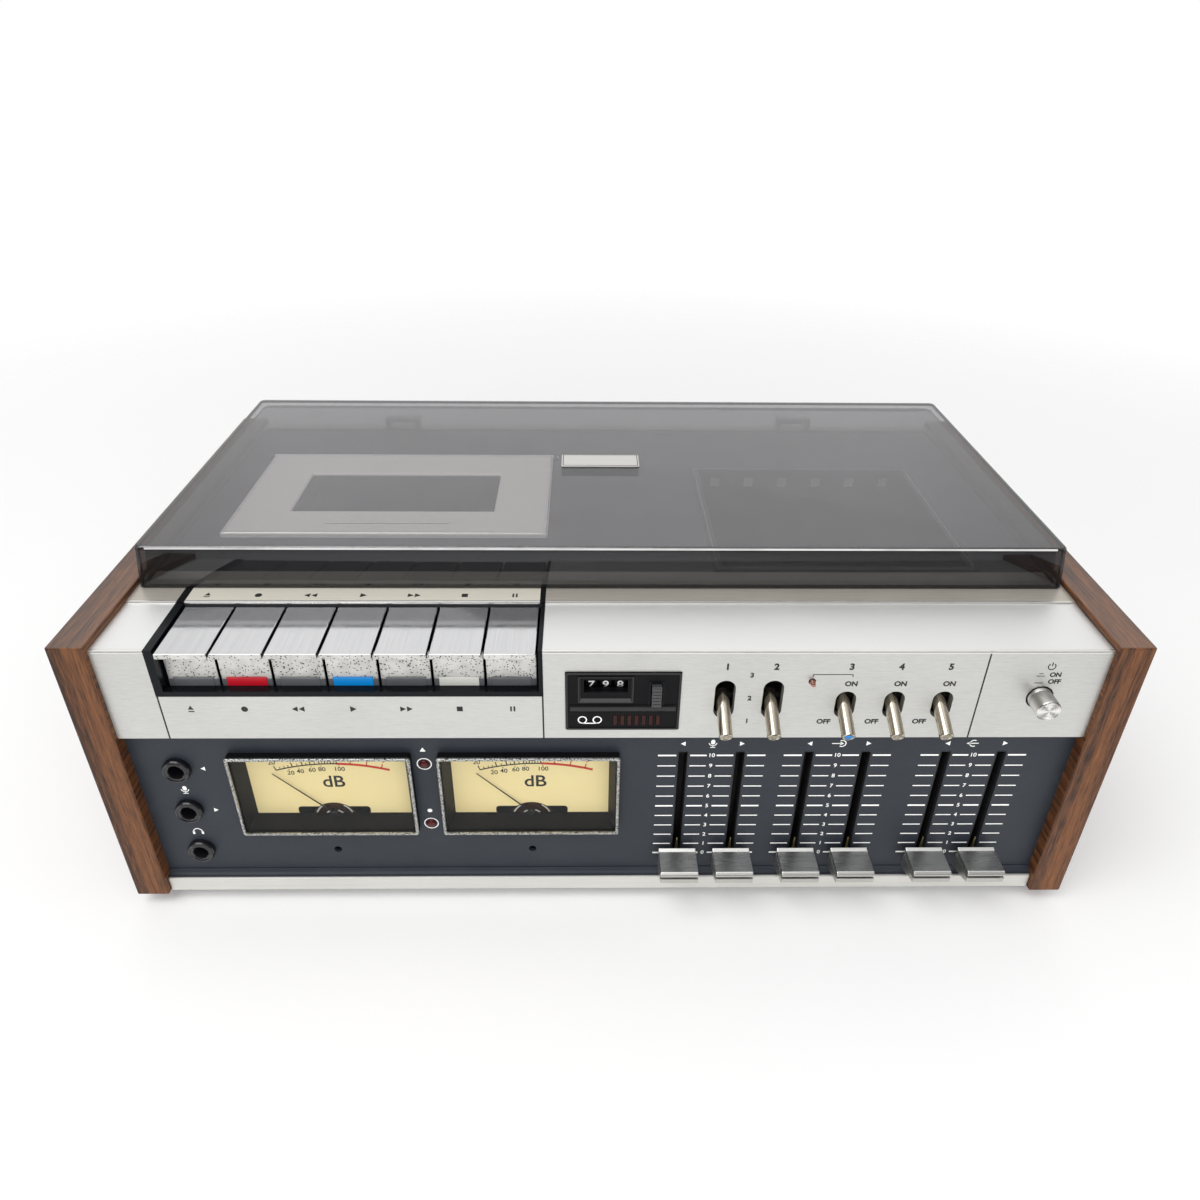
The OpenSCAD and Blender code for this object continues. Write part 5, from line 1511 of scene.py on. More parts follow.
@dataclass
class Meters:
    """Two level meters: worn silver rims, black funnels, printed dials, needles and lenses."""

    middles: tuple[tuple[str, float], ...] = (("left", -123.75), ("right", -32.95))
    height: float = 59.8
    bezel: Span = (79.5, 46.0)
    card: Span = (72.5, 39.0)
    front: Point = (0.0, 2.0, 0.0)
    dial: Point = (0.0, 12.0, 0.0)
    rim: Steps = ((0.0, 0.9, -1.0), (0.0, 0.9, -0.25), (0.25, 0.8, 0.0), (1.25, 0.6, 0.0), (1.3, 0.6, -0.75),
                  (1.0, 0.6, -1.0))
    shell: Steps = ((0.1, 0.9, -4.5), (0.1, 0.9, -0.95), (1.05, 0.6, -0.95), (1.3, 0.6, -1.8),
                    (1.9, 0.6, -1.85), (4.5, 0.5, -10.0), (2.6, 0.5, -10.0), (2.6, 0.5, -4.5))
    case_inset: float = 2.0
    case_depth: Span = (12.9, 38.5)
    dome_r: float = 11.0
    dome_turn: Span = (22.0, 158.0)
    arcs: Steps = ((8.6, 20.0, 58.0), (4.4, 25.0, 70.0))
    pivot: float = 42.6
    needle_turn: float = -45.0
    needle_outline: Profile = ((-0.32, -2.0), (0.32, -2.0), (0.16, 34.0), (-0.16, 34.0))
    needle_hub: Profile = ((1.4, 0.4), (1.4, 1.5), (1.1, 1.75), (0.4, 1.75))
    scale_r: float = 86.0
    scale_half: float = 25.25
    scale_shift: float = 2.7
    scale_top: float = 71.3
    zero: float = 0.54
    levels: tuple[tuple[float, str], ...] = (
        (0.0, "20"), (0.15, "10"), (0.24, "7"), (0.31, "5"), (0.39, "3"), (0.44, "2"), (0.49, "1"),
        (0.54, "0"), (0.66, "1"), (0.80, "2"), (0.93, "3"))
    ticks: Places = (0.04, 0.08, 0.115, 0.195, 0.275, 0.35, 0.415, 0.465, 0.515)
    percents: tuple[tuple[float, str], ...] = (
        (0.11, "20"), (0.2, "40"), (0.31, "60"), (0.40, "80"), (0.56, "100"))
    lamp_x: float = -78.8
    lamp_z: Span = (76.1, 40.0)
    lamp_profile: Profile = ((2.2, -3.0), (2.2, 0.3), (1.9, 0.75), (1.2, 1.1), (0.4, 1.25))
    lamp_sign_z: Span = (84.0, 48.0)

    def build(self) -> None:
        """Builds both meters and the lamps between them."""
        dress_node("meter_lenses", METER_GLASS)
        self.cases()
        self.dials()
        for side, x in self.middles:
            self.printing(side, x)
            self.needle(side + "_needle", x)
        self.lamps()

    def edges(self, size: Span, x: float, inset: float = 0.0) -> Edges:
        """Edges across and up of a centred rectangle, moved in by an inset."""
        half_w, half_h = size[0] / 2 - inset, size[1] / 2 - inset
        return (x - half_w, x + half_w), (self.height - half_h, self.height + half_h)

    def cases(self) -> None:
        """Silver rims around black mouldings that slope down to the dials."""
        rims, shells = Solid(), Solid()
        near, far = self.case_depth
        for _, x in self.middles:
            rims.moulding(*self.edges(self.bezel, x), self.rim, Facing.FRONT, self.front)
            shells.moulding(*self.edges(self.bezel, x), self.shell, Facing.FRONT, self.front)
            across, up = self.edges(self.bezel, x, self.case_inset)
            shells.block((across[0], near, up[0]), (across[1], far, up[1]))
        rims.build("meter_rims", RIM_METAL)
        shells.build("meter_shells", BLACK_PLASTIC, hides=["meter_cases"])

    def dials(self) -> None:
        """Cream cards, each with the movement in a dark window at its foot: a bronze dome and pale arcs."""
        cards, windows, domes, arcs = Solid(), Solid(), Solid(), Solid()
        for _, x in self.middles:
            across, up = self.edges(self.card, x)
            foot = up[0]
            cards.prism(rounded(across, up, 0.3), Facing.FRONT, self.dial, (-0.8, 0.0))
            window = rounded((x - 16.5, x + 16.5), (foot + 0.3, foot + 5.0), 1.6)
            windows.prism(window, Facing.FRONT, self.dial, (0.0, 0.06))
            dome = round_outline(self.dome_r, (x, foot - 3.6), 40, self.dome_turn)
            domes.prism(dome, Facing.FRONT, self.dial, (0.02, 0.2))
            sill = rounded((x - 9.8, x + 9.8), (foot + 0.2, foot + 1.2), 0.3)
            windows.prism(sill, Facing.FRONT, self.dial, (0.15, 0.35))
            for radius, start, end in self.arcs:
                for turn in ((start, end), (180.0 - end, 180.0 - start)):
                    band = arc_band(radius, 0.6, (x, foot - 1.4), turn)
                    arcs.prism(band, Facing.FRONT, self.dial, (0.1, 0.3))
        cards.build("dial_cards", DIAL, hides=["meter_dials"])
        windows.build("movement_windows", BLACK_PLASTIC)
        domes.build("movement_domes", DOME_BRONZE)
        arcs.build("movement_arcs", WHITE_PLASTIC)

    def scale_spot(self, share: float, x: float, lift: float) -> Span:
        """A place on the flat arc of the scale, at equal steps across the dial.

        Args:
            share: nought at the scale's left end, one at its right end.
            x: middle of the meter.
            lift: distance outside the arc.

        Returns:
            The place on the dial.
        """
        lean = math.asin((2.0 * share - 1.0) * self.scale_half / self.scale_r)
        reach = self.scale_r + lift
        return (x + self.scale_shift + reach * math.sin(lean),
                self.scale_top - self.scale_r + reach * math.cos(lean))

    def printing(self, side: str, x: float) -> None:
        """Scale arcs, ticks and plain numbers in black, the overload zone in red.

        Args:
            side: left or right, for the pieces' names.
            x: middle of the meter.
        """
        black = Symbols(Facing.FRONT, self.dial[1])
        red = Symbols(Facing.FRONT, self.dial[1])
        centre = (x + self.scale_shift, self.scale_top - self.scale_r)
        reach = math.degrees(math.asin(self.scale_half / self.scale_r))
        start = 90.0 + reach - 2 * reach * self.zero
        black.ring(centre, self.scale_r, 0.65, (start, 90.0 + reach))
        red.ring(centre, self.scale_r, 1.25, (90.0 - reach, start))
        for share, number in self.levels:
            marks = red if share > self.zero else black
            marks.line(self.scale_spot(share, x, 0.0), self.scale_spot(share, x, 2.6), 0.5)
            marks.words(number, self.scale_spot(share, x, 4.6), 3.2)
        for share in self.ticks:
            black.line(self.scale_spot(share, x, 0.0), self.scale_spot(share, x, 1.4), 0.34)
        for share, number in self.percents:
            black.disc(self.scale_spot(share, x, -1.2), 0.25)
            black.words(number, self.scale_spot(share, x, -3.2), 3.3)
        black.words("dB", (x + 2.0, self.height + 0.6), 9.5)
        black.solid.build(side + "_dial_printing", BLACK_INK)
        red.solid.build(side + "_dial_red_zone", RED_INK)

    def needle(self, name: str, x: float) -> None:
        """Thin tapered pointer at rest on the left, on a small hub.

        Args:
            name: of the needle's node and body.
            x: middle of the meter.
        """
        spot = (x, self.dial[1], self.pivot)
        pointer = turned(np.array(self.needle_outline), self.needle_turn)
        solid = Solid().prism(pointer, Facing.FRONT, spot, (1.35, 1.6))
        solid.lathe(self.needle_hub, Facing.FRONT, spot, 24)
        solid.build(name + "_pointer", BLACK_INK, name, [name])

    def lamps(self) -> None:
        """Two small red lamps in white printed rings, each with a symbol above it."""
        lenses = Solid()
        marks = Symbols(Facing.FRONT, PANEL_FRONT)
        for z in self.lamp_z:
            lenses.lathe(self.lamp_profile, Facing.FRONT, (self.lamp_x, PANEL_FRONT, z), 28)
            marks.ring((self.lamp_x, z), 3.1, 0.45)
        marks.triangle((self.lamp_x, self.lamp_sign_z[0]), 1.5, 90.0)
        marks.disc((self.lamp_x, self.lamp_sign_z[1]), 1.1)
        lenses.build("lamp_lenses", LAMP_RED, smooth=40)
        marks.solid.build("lamp_printing", WHITE_INK)


@dataclass
class MeterPanel:
    """Dark panel with its jacks, printed scales and signs, and the slide faders."""

    jack_x: float = -186.4
    jack_z: Places = (73.7, 49.3, 24.1)
    jack_profile: Profile = ((7.5, -30.0), (7.5, -2.0), (4.5, -2.0), (4.5, 0.0), (6.1, 0.0), (6.1, 2.2),
                             (5.7, 2.8), (5.1, 3.0), (4.6, 2.7), (4.3, 2.7), (3.8, 2.9), (3.4, 2.6),
                             (3.25, 1.8), (3.25, -24.0))
    fader_x: Places = (34.4, 59.4, 89.5, 114.6, 149.8, 174.4)
    fader_names: Names = ("mic_left_fader", "mic_right_fader", "line_left_fader", "line_right_fader",
                          "output_left_fader", "output_right_fader")
    scale_low: float = 20.2
    scale_step: float = 6.05
    bar_weights: Span = (0.85, 0.55)
    slot_half: float = 2.35
    slot_z: Span = (17.9, 83.0)
    sign_z: float = 87.4
    microphones: Pairs = ((47.0, 87.6), (-186.1, 61.3))
    line_signs: Pairs = ((102.0, 1.0), (162.0, -1.0))
    headphones: Span = (-186.1, 35.0)
    channel_x: float = -175.2
    channels: Pairs = ((73.6, 180.0), (48.8, 0.0))
    knob_half: float = 8.6
    knob_y: Span = (-12.0, 3.1)
    knob_top: float = 26.2
    stem_end: float = 15.7
    spring_y: float = 6.2

    def build(self) -> None:
        """Builds what stands on the panel."""
        dress_node("meter_panel", CHARCOAL)
        self.jacks()
        self.scales()
        self.slot_edges()
        self.signs()
        for name, x in zip(self.fader_names, self.fader_x):
            self.fader(name, x)

    def jacks(self) -> None:
        """Three black sockets: turned nut with a chamfer, and a bore that narrows inside."""
        solid = Solid()
        for z in self.jack_z:
            solid.lathe(self.jack_profile, Facing.FRONT, (self.jack_x, PANEL_FRONT, z), 44)
        solid.build("input_jack_nuts", JACK_BLACK, hides=["input_jacks"], smooth=30)

    def scales(self) -> None:
        """Bars and numbers from nought to ten beside the three pairs of fader slots."""
        marks = Symbols(Facing.FRONT, PANEL_FRONT)
        bold, fine = self.bar_weights
        for left, right in zip(self.fader_x[::2], self.fader_x[1::2]):
            middle = (left + right) / 2
            bars = ((left - 11.0, left - 3.0), (left + 3.1, middle - 2.2), (middle + 2.2, right - 3.0),
                    (right + 3.1, right + 11.1))
            for step in range(11):
                up = self.scale_low + self.scale_step * step
                for start, end in bars:
                    marks.line((start, up), (end, up), fine if step % 5 else bold)
                marks.words(str(step), (middle, up), 3.0)
            marks.triangle((left, self.sign_z), 1.4, 180.0)
            marks.triangle((right, self.sign_z), 1.4, 0.0)
        marks.solid.build("fader_scales", WHITE_INK)

    def slot_edges(self) -> None:
        """Thin dark lines around the fader slots."""
        edges = Solid()
        for x in self.fader_x:
            edges.line_frame((x - self.slot_half, x + self.slot_half), self.slot_z, 0.3, 0.4, (-0.2, 0.05),
                             Facing.FRONT, (0.0, PANEL_FRONT, 0.0))
        edges.build("fader_slot_edges", BLACK_INK)

    def signs(self) -> None:
        """Pictures over the fader pairs and by the jacks: microphone, line in and out, headphones."""
        marks = Symbols(Facing.FRONT, PANEL_FRONT)
        for x, z in self.microphones:
            marks.shape(rounded((-0.9, 0.9), (-0.6, 2.0), 0.85), (x, z))
            marks.ring((x, z + 0.4), 1.7, 0.4, (190.0, 350.0))
            marks.bar((x, z - 1.8), 0.4, 1.2)
            marks.bar((x, z - 2.3), 2.2, 0.4)
        for x, way in self.line_signs:
            turn = 0.0 if way > 0.0 else 180.0
            left, right = (x - 3.2, self.sign_z), (x + 1.0, self.sign_z)
            marks.ring((x + 1.2 * way, self.sign_z), 1.7, 0.45, (turn - 120.0, turn + 120.0))
            marks.line(left, right, 0.45)
            marks.triangle(right if way > 0.0 else left, 1.1, turn)
        x, z = self.headphones
        marks.ring((x, z), 2.0, 0.45, (0.0, 180.0))
        for shift in (-2.0, 2.0):
            marks.bar((x + shift, z - 0.6), 1.0, 1.7)
        for z, turn in self.channels:
            marks.triangle((self.channel_x, z), 1.3, turn)
        marks.solid.build("panel_signs", WHITE_INK)

    def fader(self, name: str, x: float) -> None:
        """Wedge knob with a raised rear edge and a grooved front, its stem through the slot, a small spring.

        Args:
            name: of the fader's node and body.
            x: its middle.
        """
        front, back = self.knob_y
        top = self.knob_top
        left, right = x - self.knob_half, x + self.knob_half
        plate = ((back, top + 0.7), (back, top - 2.2), (front, top - 2.2), (front, top - 1.0),
                 (front + 1.2, top), (back - 1.9, top), (back - 0.4, top + 0.7))
        wedge = ((back, top - 3.4), (back, top - 12.0), (front + 0.3, top - 6.2), (front, top - 5.6),
                 (front, top - 3.4))
        knob = Solid().run(plate, (left, right)).run(wedge, (left, right))
        knob.build(name + "_knob", FADER_METAL, name, [name], bevel=0.35)
        core = Solid().block((left + 1.2, front + 1.4, top - 3.6), (right - 1.2, back, top - 2.0))
        core.block((x - 1.2, back - 0.5, self.scale_low - 1.5),
                   (x + 1.2, self.stem_end, self.scale_low + 1.5))
        core.build(name + "_core", BLACK_PLASTIC, name)
        tongue = np.array([(x - 0.7, top - 3.0), (x + 0.7, top - 3.0),
                           (x + 0.2, top + 4.4), (x - 0.2, top + 4.4)])
        spring = Solid().prism(tongue, Facing.FRONT, (0.0, self.spring_y, 0.0), (0.0, 0.3))
        spring.build(name + "_spring", BRASS, name)


@dataclass
class Deck:
    """What lies under the cover: deck plate, cassette lid, storage well and tape drive."""

    dressed: ClassVar[dict[str, Finish]] = {
        "top_deck": DECK_GREY, "storage_well": WELL_PLASTIC, "lid_window": WINDOW_SMOKE,
        "mechanism_plate": SHEET_STEEL, "motor": SHEET_STEEL, "flywheel": ROD_STEEL, "motor_pulley": BRASS,
        "drive_belt": RUBBER, "head_bridge": ROD_STEEL, "pinch_roller": RUBBER, "circuit_board": BOARD,
        "transformer": BLACK_STEEL}
    reels: Names = ("supply_reel", "take_up_reel")
    reel_height: float = 12.15
    reel_shaft: float = 2.0
    reel_fin: float = 4.2
    strip_y: Span = (38.9, 64.0)
    strip_gap: Span = (-183.4, -25.6)
    strip_behind: float = 50.6
    rear_y: Span = (233.4, 243.9)
    nose: Profile = ((-0.12, -0.6), (1.0, -0.6), (1.0, 0.12), (0.4, 0.1), (0.0, -0.05), (-0.12, -0.3))
    nose_y: float = 38.0
    lid: Edges = ((-184.15, -26.65), (95.5, 190.75))
    lid_z: Span = (140.25, 142.75)
    lid_pin: Span = (0.8, 3.0)
    window: Edges = ((-156.4, -54.4), (119.7, 164.7))
    guide_x: Point = (47.25, 52.25, 53.45)
    guide_y: Span = (117.0, 180.8)
    guide_foot: float = 126.0
    guide_ledge: Span = (126.05, 127.25)
    rule: Edges = ((-136.0, -75.0), (105.4, 105.8))
    store: Edges = ((53.0, 170.0), (67.0, 177.0))
    store_edge: float = 1.8
    store_places: int = 6
    tab_half: float = 2.5
    tab_z: Span = (131.8, 136.8)
    rim_grow: float = 1.1
    rim_z: Span = (140.5, 140.75)

    def build(self) -> None:
        """Dresses the deck and builds what stands on it."""
        for name, finish in self.dressed.items():
            dress_node(name, finish)
        for name in self.reels:
            self.reel(name)
        self.strips()
        self.cassette_lid()
        self.lid_lines()
        self.storage()

    def reel(self, name: str) -> None:
        """Ridged dark table and a white hub with a pointed tip and three fins, on the node's own axis.

        Args:
            name: of the reel's node and body.
        """
        low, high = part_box(name)
        radius = (high.x - low.x) / 2 / MM
        x, y = (high.x + low.x) / 2 / MM, ((high.y + low.y) / 2 - CORNER.y) / MM
        tip = (high.z - CORNER.z) / MM
        foot, table = (low.z - CORNER.z) / MM, tip - self.reel_height
        profile = [(self.reel_shaft, foot), (self.reel_shaft, table), (radius - 0.4, table),
                   (radius, table + 0.4), (radius, table + 1.1), (radius - 0.4, table + 1.4)]
        for ridge in np.linspace(radius - 1.2, 5.2, 5):
            profile += [(ridge, table + 1.4), (ridge - 0.3, table + 1.1), (ridge - 0.7, table + 1.1),
                        (ridge - 1.0, table + 1.4)]
        profile.append((3.4, table + 1.4))
        spot = (x, y, 0.0)
        plate = Solid().lathe(profile, Facing.TOP, spot, 48)
        plate.build(name + "_table", JACK_BLACK, name, [name], smooth=25)
        hub = Solid().lathe([(3.9, table + 1.3), (3.9, table + 2.2), (3.3, table + 2.6), (3.3, tip - 1.8),
                             (2.4, tip - 0.7), (0.6, tip)], Facing.TOP, spot)
        for turn in np.radians((0.0, 120.0, 240.0)):
            way = np.array([math.cos(turn), math.sin(turn)])
            hub.prism(stroke(way, way * self.reel_fin, 0.9), Facing.TOP, spot, (table + 1.3, tip - 1.0))
        hub.build(name + "_hub", WHITE_PLASTIC, name, smooth=30)

    def strips(self) -> None:
        """Bright strips before and just under the cover, with a rounded edge, and along the rear."""
        low, high = DECK_TOP - 0.3, DECK_TOP + 0.08
        near, far = self.strip_y
        left, right = self.strip_gap
        sides = ((-HALF_IN, left), (right, HALF_IN))
        strip, edge = Solid(), Solid()
        for start, end in sides:
            strip.block((start, near, low), (end, far, high))
        strip.block((left, self.strip_behind, low), (right, far, DECK_TOP + 0.06))
        strip.build("deck_front_strip", WARM_STRIP)
        rear = Solid().block((-HALF_IN, self.rear_y[0], low), (HALF_IN, self.rear_y[1], high))
        rear.build("deck_rear_strip", STRIP_SILVER)
        for side in sides:
            edge.run(np.array(self.nose) + (self.nose_y, DECK_TOP), side)
        edge.build("deck_front_edge", BRIGHT_EDGE)

    def cassette_lid(self) -> None:
        """Plate with a bevelled window, a round rear edge on its pins, and guides for the cassette below."""
        low, high = self.lid_z
        across, along = self.lid
        win_x, win_y = self.window
        (left, right), (near, far) = across, along
        rings = [(across, along, 1.2, low), (across, along, 1.2, high - 0.6),
                 ((left + 0.7, right - 0.7), (near + 0.7, far - 0.7), 1.0, high),
                 ((win_x[0] - 0.8, win_x[1] + 0.8), (win_y[0] - 0.8, win_y[1] + 0.8), 0.8, high),
                 (win_x, win_y, 0.6, high - 0.6), (win_x, win_y, 0.6, low)]
        solid = Solid().frames(rings, Facing.TOP)
        for radius, reach in (((high - low) / 2, 0.0), self.lid_pin):
            solid.run(round_outline(radius, (far, (low + high) / 2)), (left - reach, right + reach))
        middle = (left + right) / 2
        for side in (-1, 1):
            ledge, inner, outer = (middle + side * shift for shift in self.guide_x)
            for first, foot, top in ((inner, self.guide_foot, low + 0.1), (ledge, *self.guide_ledge)):
                start, end = sorted((first, outer))
                solid.block((start, self.guide_y[0], foot), (end, self.guide_y[1], top))
        solid.build("cassette_lid_plate", LID_SILVER, "cassette_lid", ["cassette_lid"])

    def lid_lines(self) -> None:
        """Bright line around the lid and a thin printed rule on it."""
        high = self.lid_z[1]
        steps = ((0.2, 1.0, high - 0.5), (0.7, 1.0, high + 0.08),
                 (1.9, 1.0, high + 0.08), (2.0, 1.0, high - 0.1))
        Solid().moulding(*self.lid, steps, Facing.TOP).build("cassette_lid_edge", BRIGHT_EDGE, "cassette_lid")
        rule = Solid().prism(rectangle(*self.rule), Facing.TOP, ORIGIN, (high - 0.1, high + 0.04))
        rule.build("cassette_lid_rule", BLACK_INK, "cassette_lid")

    def storage(self) -> None:
        """Pale tabs at the six places, and a thin line on the well's rim."""
        (left, right), (near, far) = self.store
        pitch = (right - left - 2 * self.store_edge) / self.store_places
        tabs = Solid()
        for x in left + self.store_edge + (np.arange(self.store_places) + 0.5) * pitch:
            outline = rounded((x - self.tab_half, x + self.tab_half), self.tab_z, 0.5)
            tabs.prism(outline, Facing.FRONT, (0.0, far - 3.3, 0.0), (0.0, 0.25))
        tabs.build("storage_tabs", TAB_GREY)
        grow = self.rim_grow
        rim = Solid().line_frame((left - grow, right + grow), (near - grow, far + grow), 1.0, 0.8, self.rim_z,
                                 Facing.TOP)
        rim.build("storage_rim_line", RIM_LINE)


@dataclass
class Cover:
    """Smoky acrylic cover with rounded edges, hinge lugs and a small bare plate."""

    half: float = 203.9
    along: Span = (49.0, 235.0)
    foot: float = 140.25
    height: float = 19.8
    wall: float = 2.5
    draft: float = 1.5
    edge: float = 2.0
    upright: float = 0.5
    hinge_x: float = 120.0
    hinge: Span = (240.5, 144.4)
    knuckle: Profile = ((1.6, -7.0), (3.2, -7.0), (3.2, 7.0), (1.6, 7.0))
    lug_half: float = 7.0
    lug_y: Span = (233.0, 238.9)
    lug_z: Span = (141.2, 147.6)
    top_line: Steps = ((2.25, -1.7, 2.2), (2.25, -0.8, 2.2), (2.55, -0.5, 2.1), (3.35, -0.5, 2.0),
                       (3.35, -1.7, 2.0))
    foot_line: Steps = ((0.5, 0.25, 2.8), (0.55, 0.9, 2.8), (1.9, 0.9, 2.4), (1.9, 0.25, 2.4))
    post_inset: float = 1.9
    worn_turn: Span = (14.0, 38.0)
    plate_edges: Edges = ((-20.6, 19.2), (134.8, 150.0))
    plate_crown: Edges = ((-20.2, 18.8), (135.2, 149.6))
    plate_line: Edges = ((-19.9, 18.5), (135.5, 149.3))

    @property
    def top(self) -> float:
        """Height of the cover's upper face."""
        return self.foot + self.height

    def build(self) -> None:
        """Builds the shell, its lugs and edges and the plate."""
        self.shell()
        self.lugs()
        self.edges()
        self.worn_edge()
        self.plate()

    def ring(self, inset: float, height: float, radius: float) -> Array:
        """Round-cornered outline of the cover at one height, moved in by an inset."""
        across, along = (inset - self.half, self.half - inset), (self.along[0] + inset, self.along[1] - inset)
        return raised(rounded(across, along, radius, 6), height)

    def skin(self, inset: float, top: float) -> list[Array]:
        """Rings of a drafted wall and the quarter circle that turns it into the top.

        Args:
            inset: from the outer wall.
            top: height above the foot.

        Returns:
            The rings from the foot to the top.
        """
        rings = [self.ring(inset, self.foot, 3.0)]
        for turn in np.radians(np.linspace(0.0, 90.0, 6)):
            lean = inset + self.draft + self.edge * (1.0 - math.cos(turn))
            height = self.foot + top - self.edge * (1.0 - math.sin(turn))
            rings.append(self.ring(lean, height, 2.6 + inset * 0.2))
        return rings

    def shell(self) -> None:
        """Outer and inner skin of one closed shell; the upright faces take a darker copy of the smoke as
        painted shade.
        """
        outer = self.skin(0.0, self.height)
        inner = self.skin(self.wall, self.height - self.wall)
        solid = Solid().loft(inner[::-1] + outer)
        cover = solid.build("dust_cover_shell", SMOKE, "dust_cover", ["dust_cover"], smooth=50)
        cover.data.materials.append(SMOKE_WALL_SHADED.material())
        slopes = np.empty(len(cover.data.polygons) * 3)
        cover.data.polygons.foreach_get("normal", slopes)
        # Upright faces get the second material, the painted-shade copy.
        upright = np.abs(slopes[2::3]) < self.upright
        cover.data.polygons.foreach_set("material_index", upright.astype(np.int32))

    def lugs(self) -> None:
        """Two clear hinge lugs at the rear."""
        solid = Solid()
        for x in (-self.hinge_x, self.hinge_x):
            solid.lathe(self.knuckle, Facing.RIGHT, (x, *self.hinge), 32, closed=True)
            solid.block((x - self.lug_half, self.lug_y[0], self.lug_z[0]),
                        (x + self.lug_half, self.lug_y[1], self.lug_z[1]))
        solid.build("dust_cover_lugs", LUG_CLEAR, "dust_cover", smooth=40)

    def edges(self) -> None:
        """Painted shade: dark lines inside the thick edges, for the light lost along the acrylic's thickness:
        top, foot and front corners.
        """
        solid = Solid()
        for level, line in ((self.top, self.top_line), (self.foot, self.foot_line)):
            solid.loft([self.ring(inset, level + lift, radius) for inset, lift, radius in line], closed=True)
        for side in (-1, 1):
            x, y = side * (self.half - self.post_inset), self.along[0] + self.post_inset
            low = round_outline(0.45, (x, y), 10)
            high = low + (-side * self.draft, self.draft)
            solid.loft([raised(low, self.foot + 0.6), raised(high, self.top - 1.2)])
        solid.build("dust_cover_edge_shade", EDGE_SHADE, "dust_cover")

    def worn_edge(self) -> None:
        """Painted highlight: a pale line along the rounded front edge."""
        turn = np.radians(np.array(self.worn_turn))
        bend = self.edge * np.stack([1.0 - np.cos(turn), np.sin(turn) - 1.0], axis=1)
        face = bend + (self.along[0] + self.draft - 0.03, self.top)
        profile = np.concatenate([face, face[::-1] + (0.1, 0.0)])
        reach = self.half - self.draft - 5.0
        Solid().run(profile, (-reach, reach)).build("dust_cover_front_highlight", EDGE_HIGHLIGHT, "dust_cover")

    def plate(self) -> None:
        """Small bare metal plate with a rounded edge on the cover's top, and a dark line around it."""
        outline, crown = rounded(*self.plate_edges, 0.8), rounded(*self.plate_crown, 0.7)
        levels = ((outline, 0.02), (outline, 0.5), (crown, 0.75))
        plate = Solid().loft([raised(ring, self.top + lift) for ring, lift in levels])
        plate.build("cover_plate_bare", PLATE_BARE, "dust_cover", smooth=20)
        line = Solid().line_frame(*self.plate_line, 0.5, 0.35, (self.top + 0.6, self.top + 0.8), Facing.TOP)
        line.build("cover_plate_line", BLACK_INK, "dust_cover")


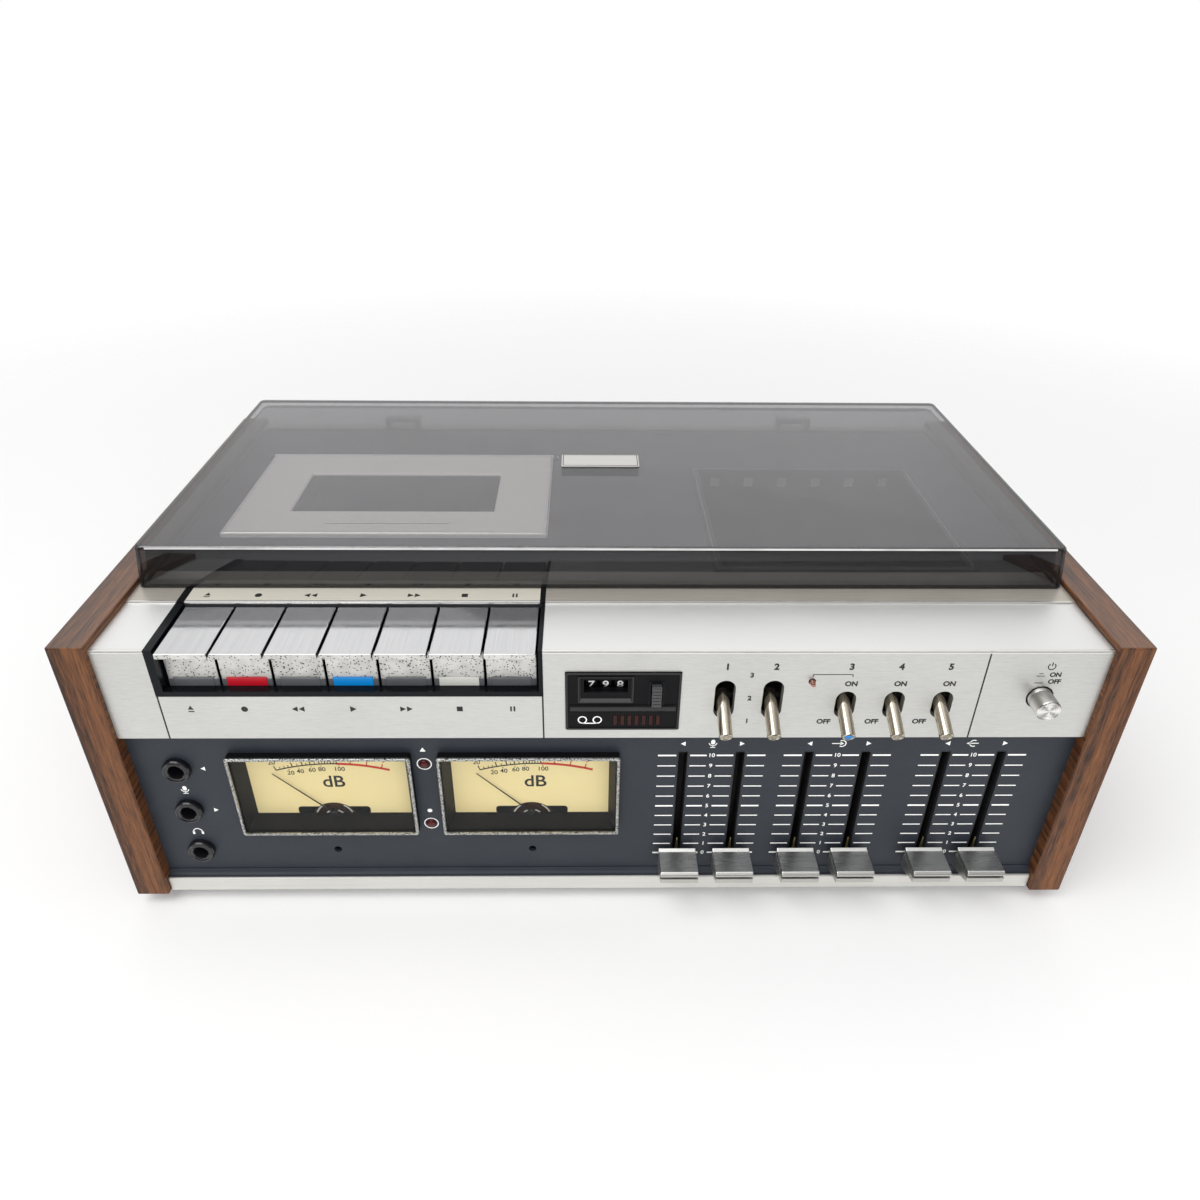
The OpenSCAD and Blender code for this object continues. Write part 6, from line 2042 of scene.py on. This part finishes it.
@dataclass
class Studio:
    """Camera at the photograph's place, pale floor, soft lamps and an even sky."""

    lens: float = 27.34
    sensor: float = 36.0
    eye: Point = (-8.905, -294.18, 349.52)
    pitch: float = 0.5603
    yaw: float = -0.0205
    roll: float = 0.0119
    floor_half: float = 6.0
    floor_fade: Span = (0.5, 1.1)
    sky_light: float = 0.65
    flag_light: float = 0.22
    aim: Point = (0.0, 0.0, 0.1)

    def build(self) -> None:
        """Sets the stage."""
        self.camera()
        self.floor()
        self.sky()
        self.lamp("key_lamp", (-0.8, -0.9, 2.0), (1.6, 1.6), 24.0)
        self.lamp("fill_lamp", (0.5, -1.9, 0.9), (1.8, 1.2), 16.0, mirrored=False)
        bpy.context.scene.view_settings.view_transform = "Standard"

    def camera(self) -> None:
        """Turns by yaw, then pitch, then roll; the rows of the result are right, down and forward."""
        level = Matrix(((1, 0, 0), (0, 0, -1), (0, 1, 0)))
        turn = Matrix.Rotation(self.pitch, 3, "X") @ Matrix.Rotation(self.yaw, 3, "Y")
        right, down, forward = np.array(Matrix.Rotation(self.roll, 3, "Z") @ turn @ level)
        place = np.eye(4)
        place[:3, 0], place[:3, 1], place[:3, 2] = right, -down, -forward
        place[:3, 3] = np.array(self.eye) * MM + (0.0, CORNER.y, CORNER.z)
        data = bpy.data.cameras.new("camera")
        data.lens, data.sensor_width = self.lens, self.sensor
        data.clip_start = 0.01
        camera = bpy.data.objects.new("camera", data)
        bpy.context.scene.collection.objects.link(camera)
        camera.matrix_world = Matrix(place.tolist())
        bpy.context.scene.camera = camera

    def floor(self) -> None:
        """Plain pale floor that keeps the object's shadow and fades into the white background."""
        half = self.floor_half
        mesh = bpy.data.meshes.new("floor")
        corners = [(-half, -half, 0), (half, -half, 0), (half, half, 0), (-half, half, 0)]
        mesh.from_pydata(corners, [], [(0, 1, 2, 3)])
        floor = bpy.data.objects.new("floor", mesh)
        bpy.context.scene.collection.objects.link(floor)
        paint = Paint("floor_pale")
        paint.set(Base_Color=(0.95, 0.95, 0.95), Roughness=0.9, Specular_IOR_Level=0.1)
        spot = paint.wire("ShaderNodeTexCoord", output="Object")
        reach = paint.wire("ShaderNodeVectorMath", {"operation": "LENGTH"}, {0: spot}, "Value")
        beyond = paint.node("ShaderNodeBsdfTransparent")
        paint.blend(reach.between(*self.floor_fade), paint.shader, beyond)
        mesh.materials.append(paint.material)

    def sky(self) -> None:
        """Even soft light; the eye sees white, mirrors see white behind and above, dark flags elsewhere."""
        world = bpy.data.worlds.new("sky")
        bpy.context.scene.world = world
        world.use_nodes = True
        background = world.node_tree.nodes["Background"]
        background.inputs["Color"].default_value = (1.0, 1.0, 1.0, 1.0)
        sky = Tree(world.node_tree)
        seen = sky.wire("ShaderNodeLightPath", output="Is Camera Ray")
        mirrored = sky.wire("ShaderNodeLightPath", output="Is Glossy Ray")
        way = sky.wire("ShaderNodeTexCoord", output="Generated")
        across, along, up = (sky.wire("ShaderNodeSeparateXYZ", None, {0: way}, name) for name in "XYZ")
        behind = along.between(-0.6, 0.1)
        overhead = up.between(0.6, 0.95)
        white = behind.math("MAXIMUM", behind, overhead) * (1.0 - (across * across).between(0.1, 0.8))
        flags = self.flag_light + (1.0 - self.flag_light) * white
        level = self.sky_light + mirrored * (flags - self.sky_light)
        sky.plug(background.inputs["Strength"], level + seen * (1.0 - level))

    def lamp(self, name: str, place: Point, size: Span, power: float, mirrored: bool = True) -> None:
        """A soft lamp that faces the middle of the object.

        Args:
            name: of the lamp.
            place: in metres.
            size: width and height in metres.
            power: in watts.
            mirrored: False to keep it out of mirrors.
        """
        data = bpy.data.lights.new(name, "AREA")
        data.shape, data.energy = "RECTANGLE", power
        data.size, data.size_y = size
        lamp = bpy.data.objects.new(name, data)
        lamp.visible_glossy = mirrored
        bpy.context.scene.collection.objects.link(lamp)
        away = np.array(place) - np.array(self.aim)
        lamp.location = place
        lamp.rotation_euler = (math.acos(away[2] / np.linalg.norm(away)), 0.0, math.atan2(away[0], -away[1]))


def main() -> None:
    """Builds the stage and every sub-assembly."""
    logging.basicConfig(level=logging.INFO, format="%(message)s")
    for part in (Studio(), Cabinet(), Fascia(), Keys(), Counter(), Meters(), MeterPanel(), Deck(), Cover()):
        LOG.info("building %s", type(part).__name__)
        part.build()
    bpy.context.view_layer.update()


if __name__ == "__main__":
    main()
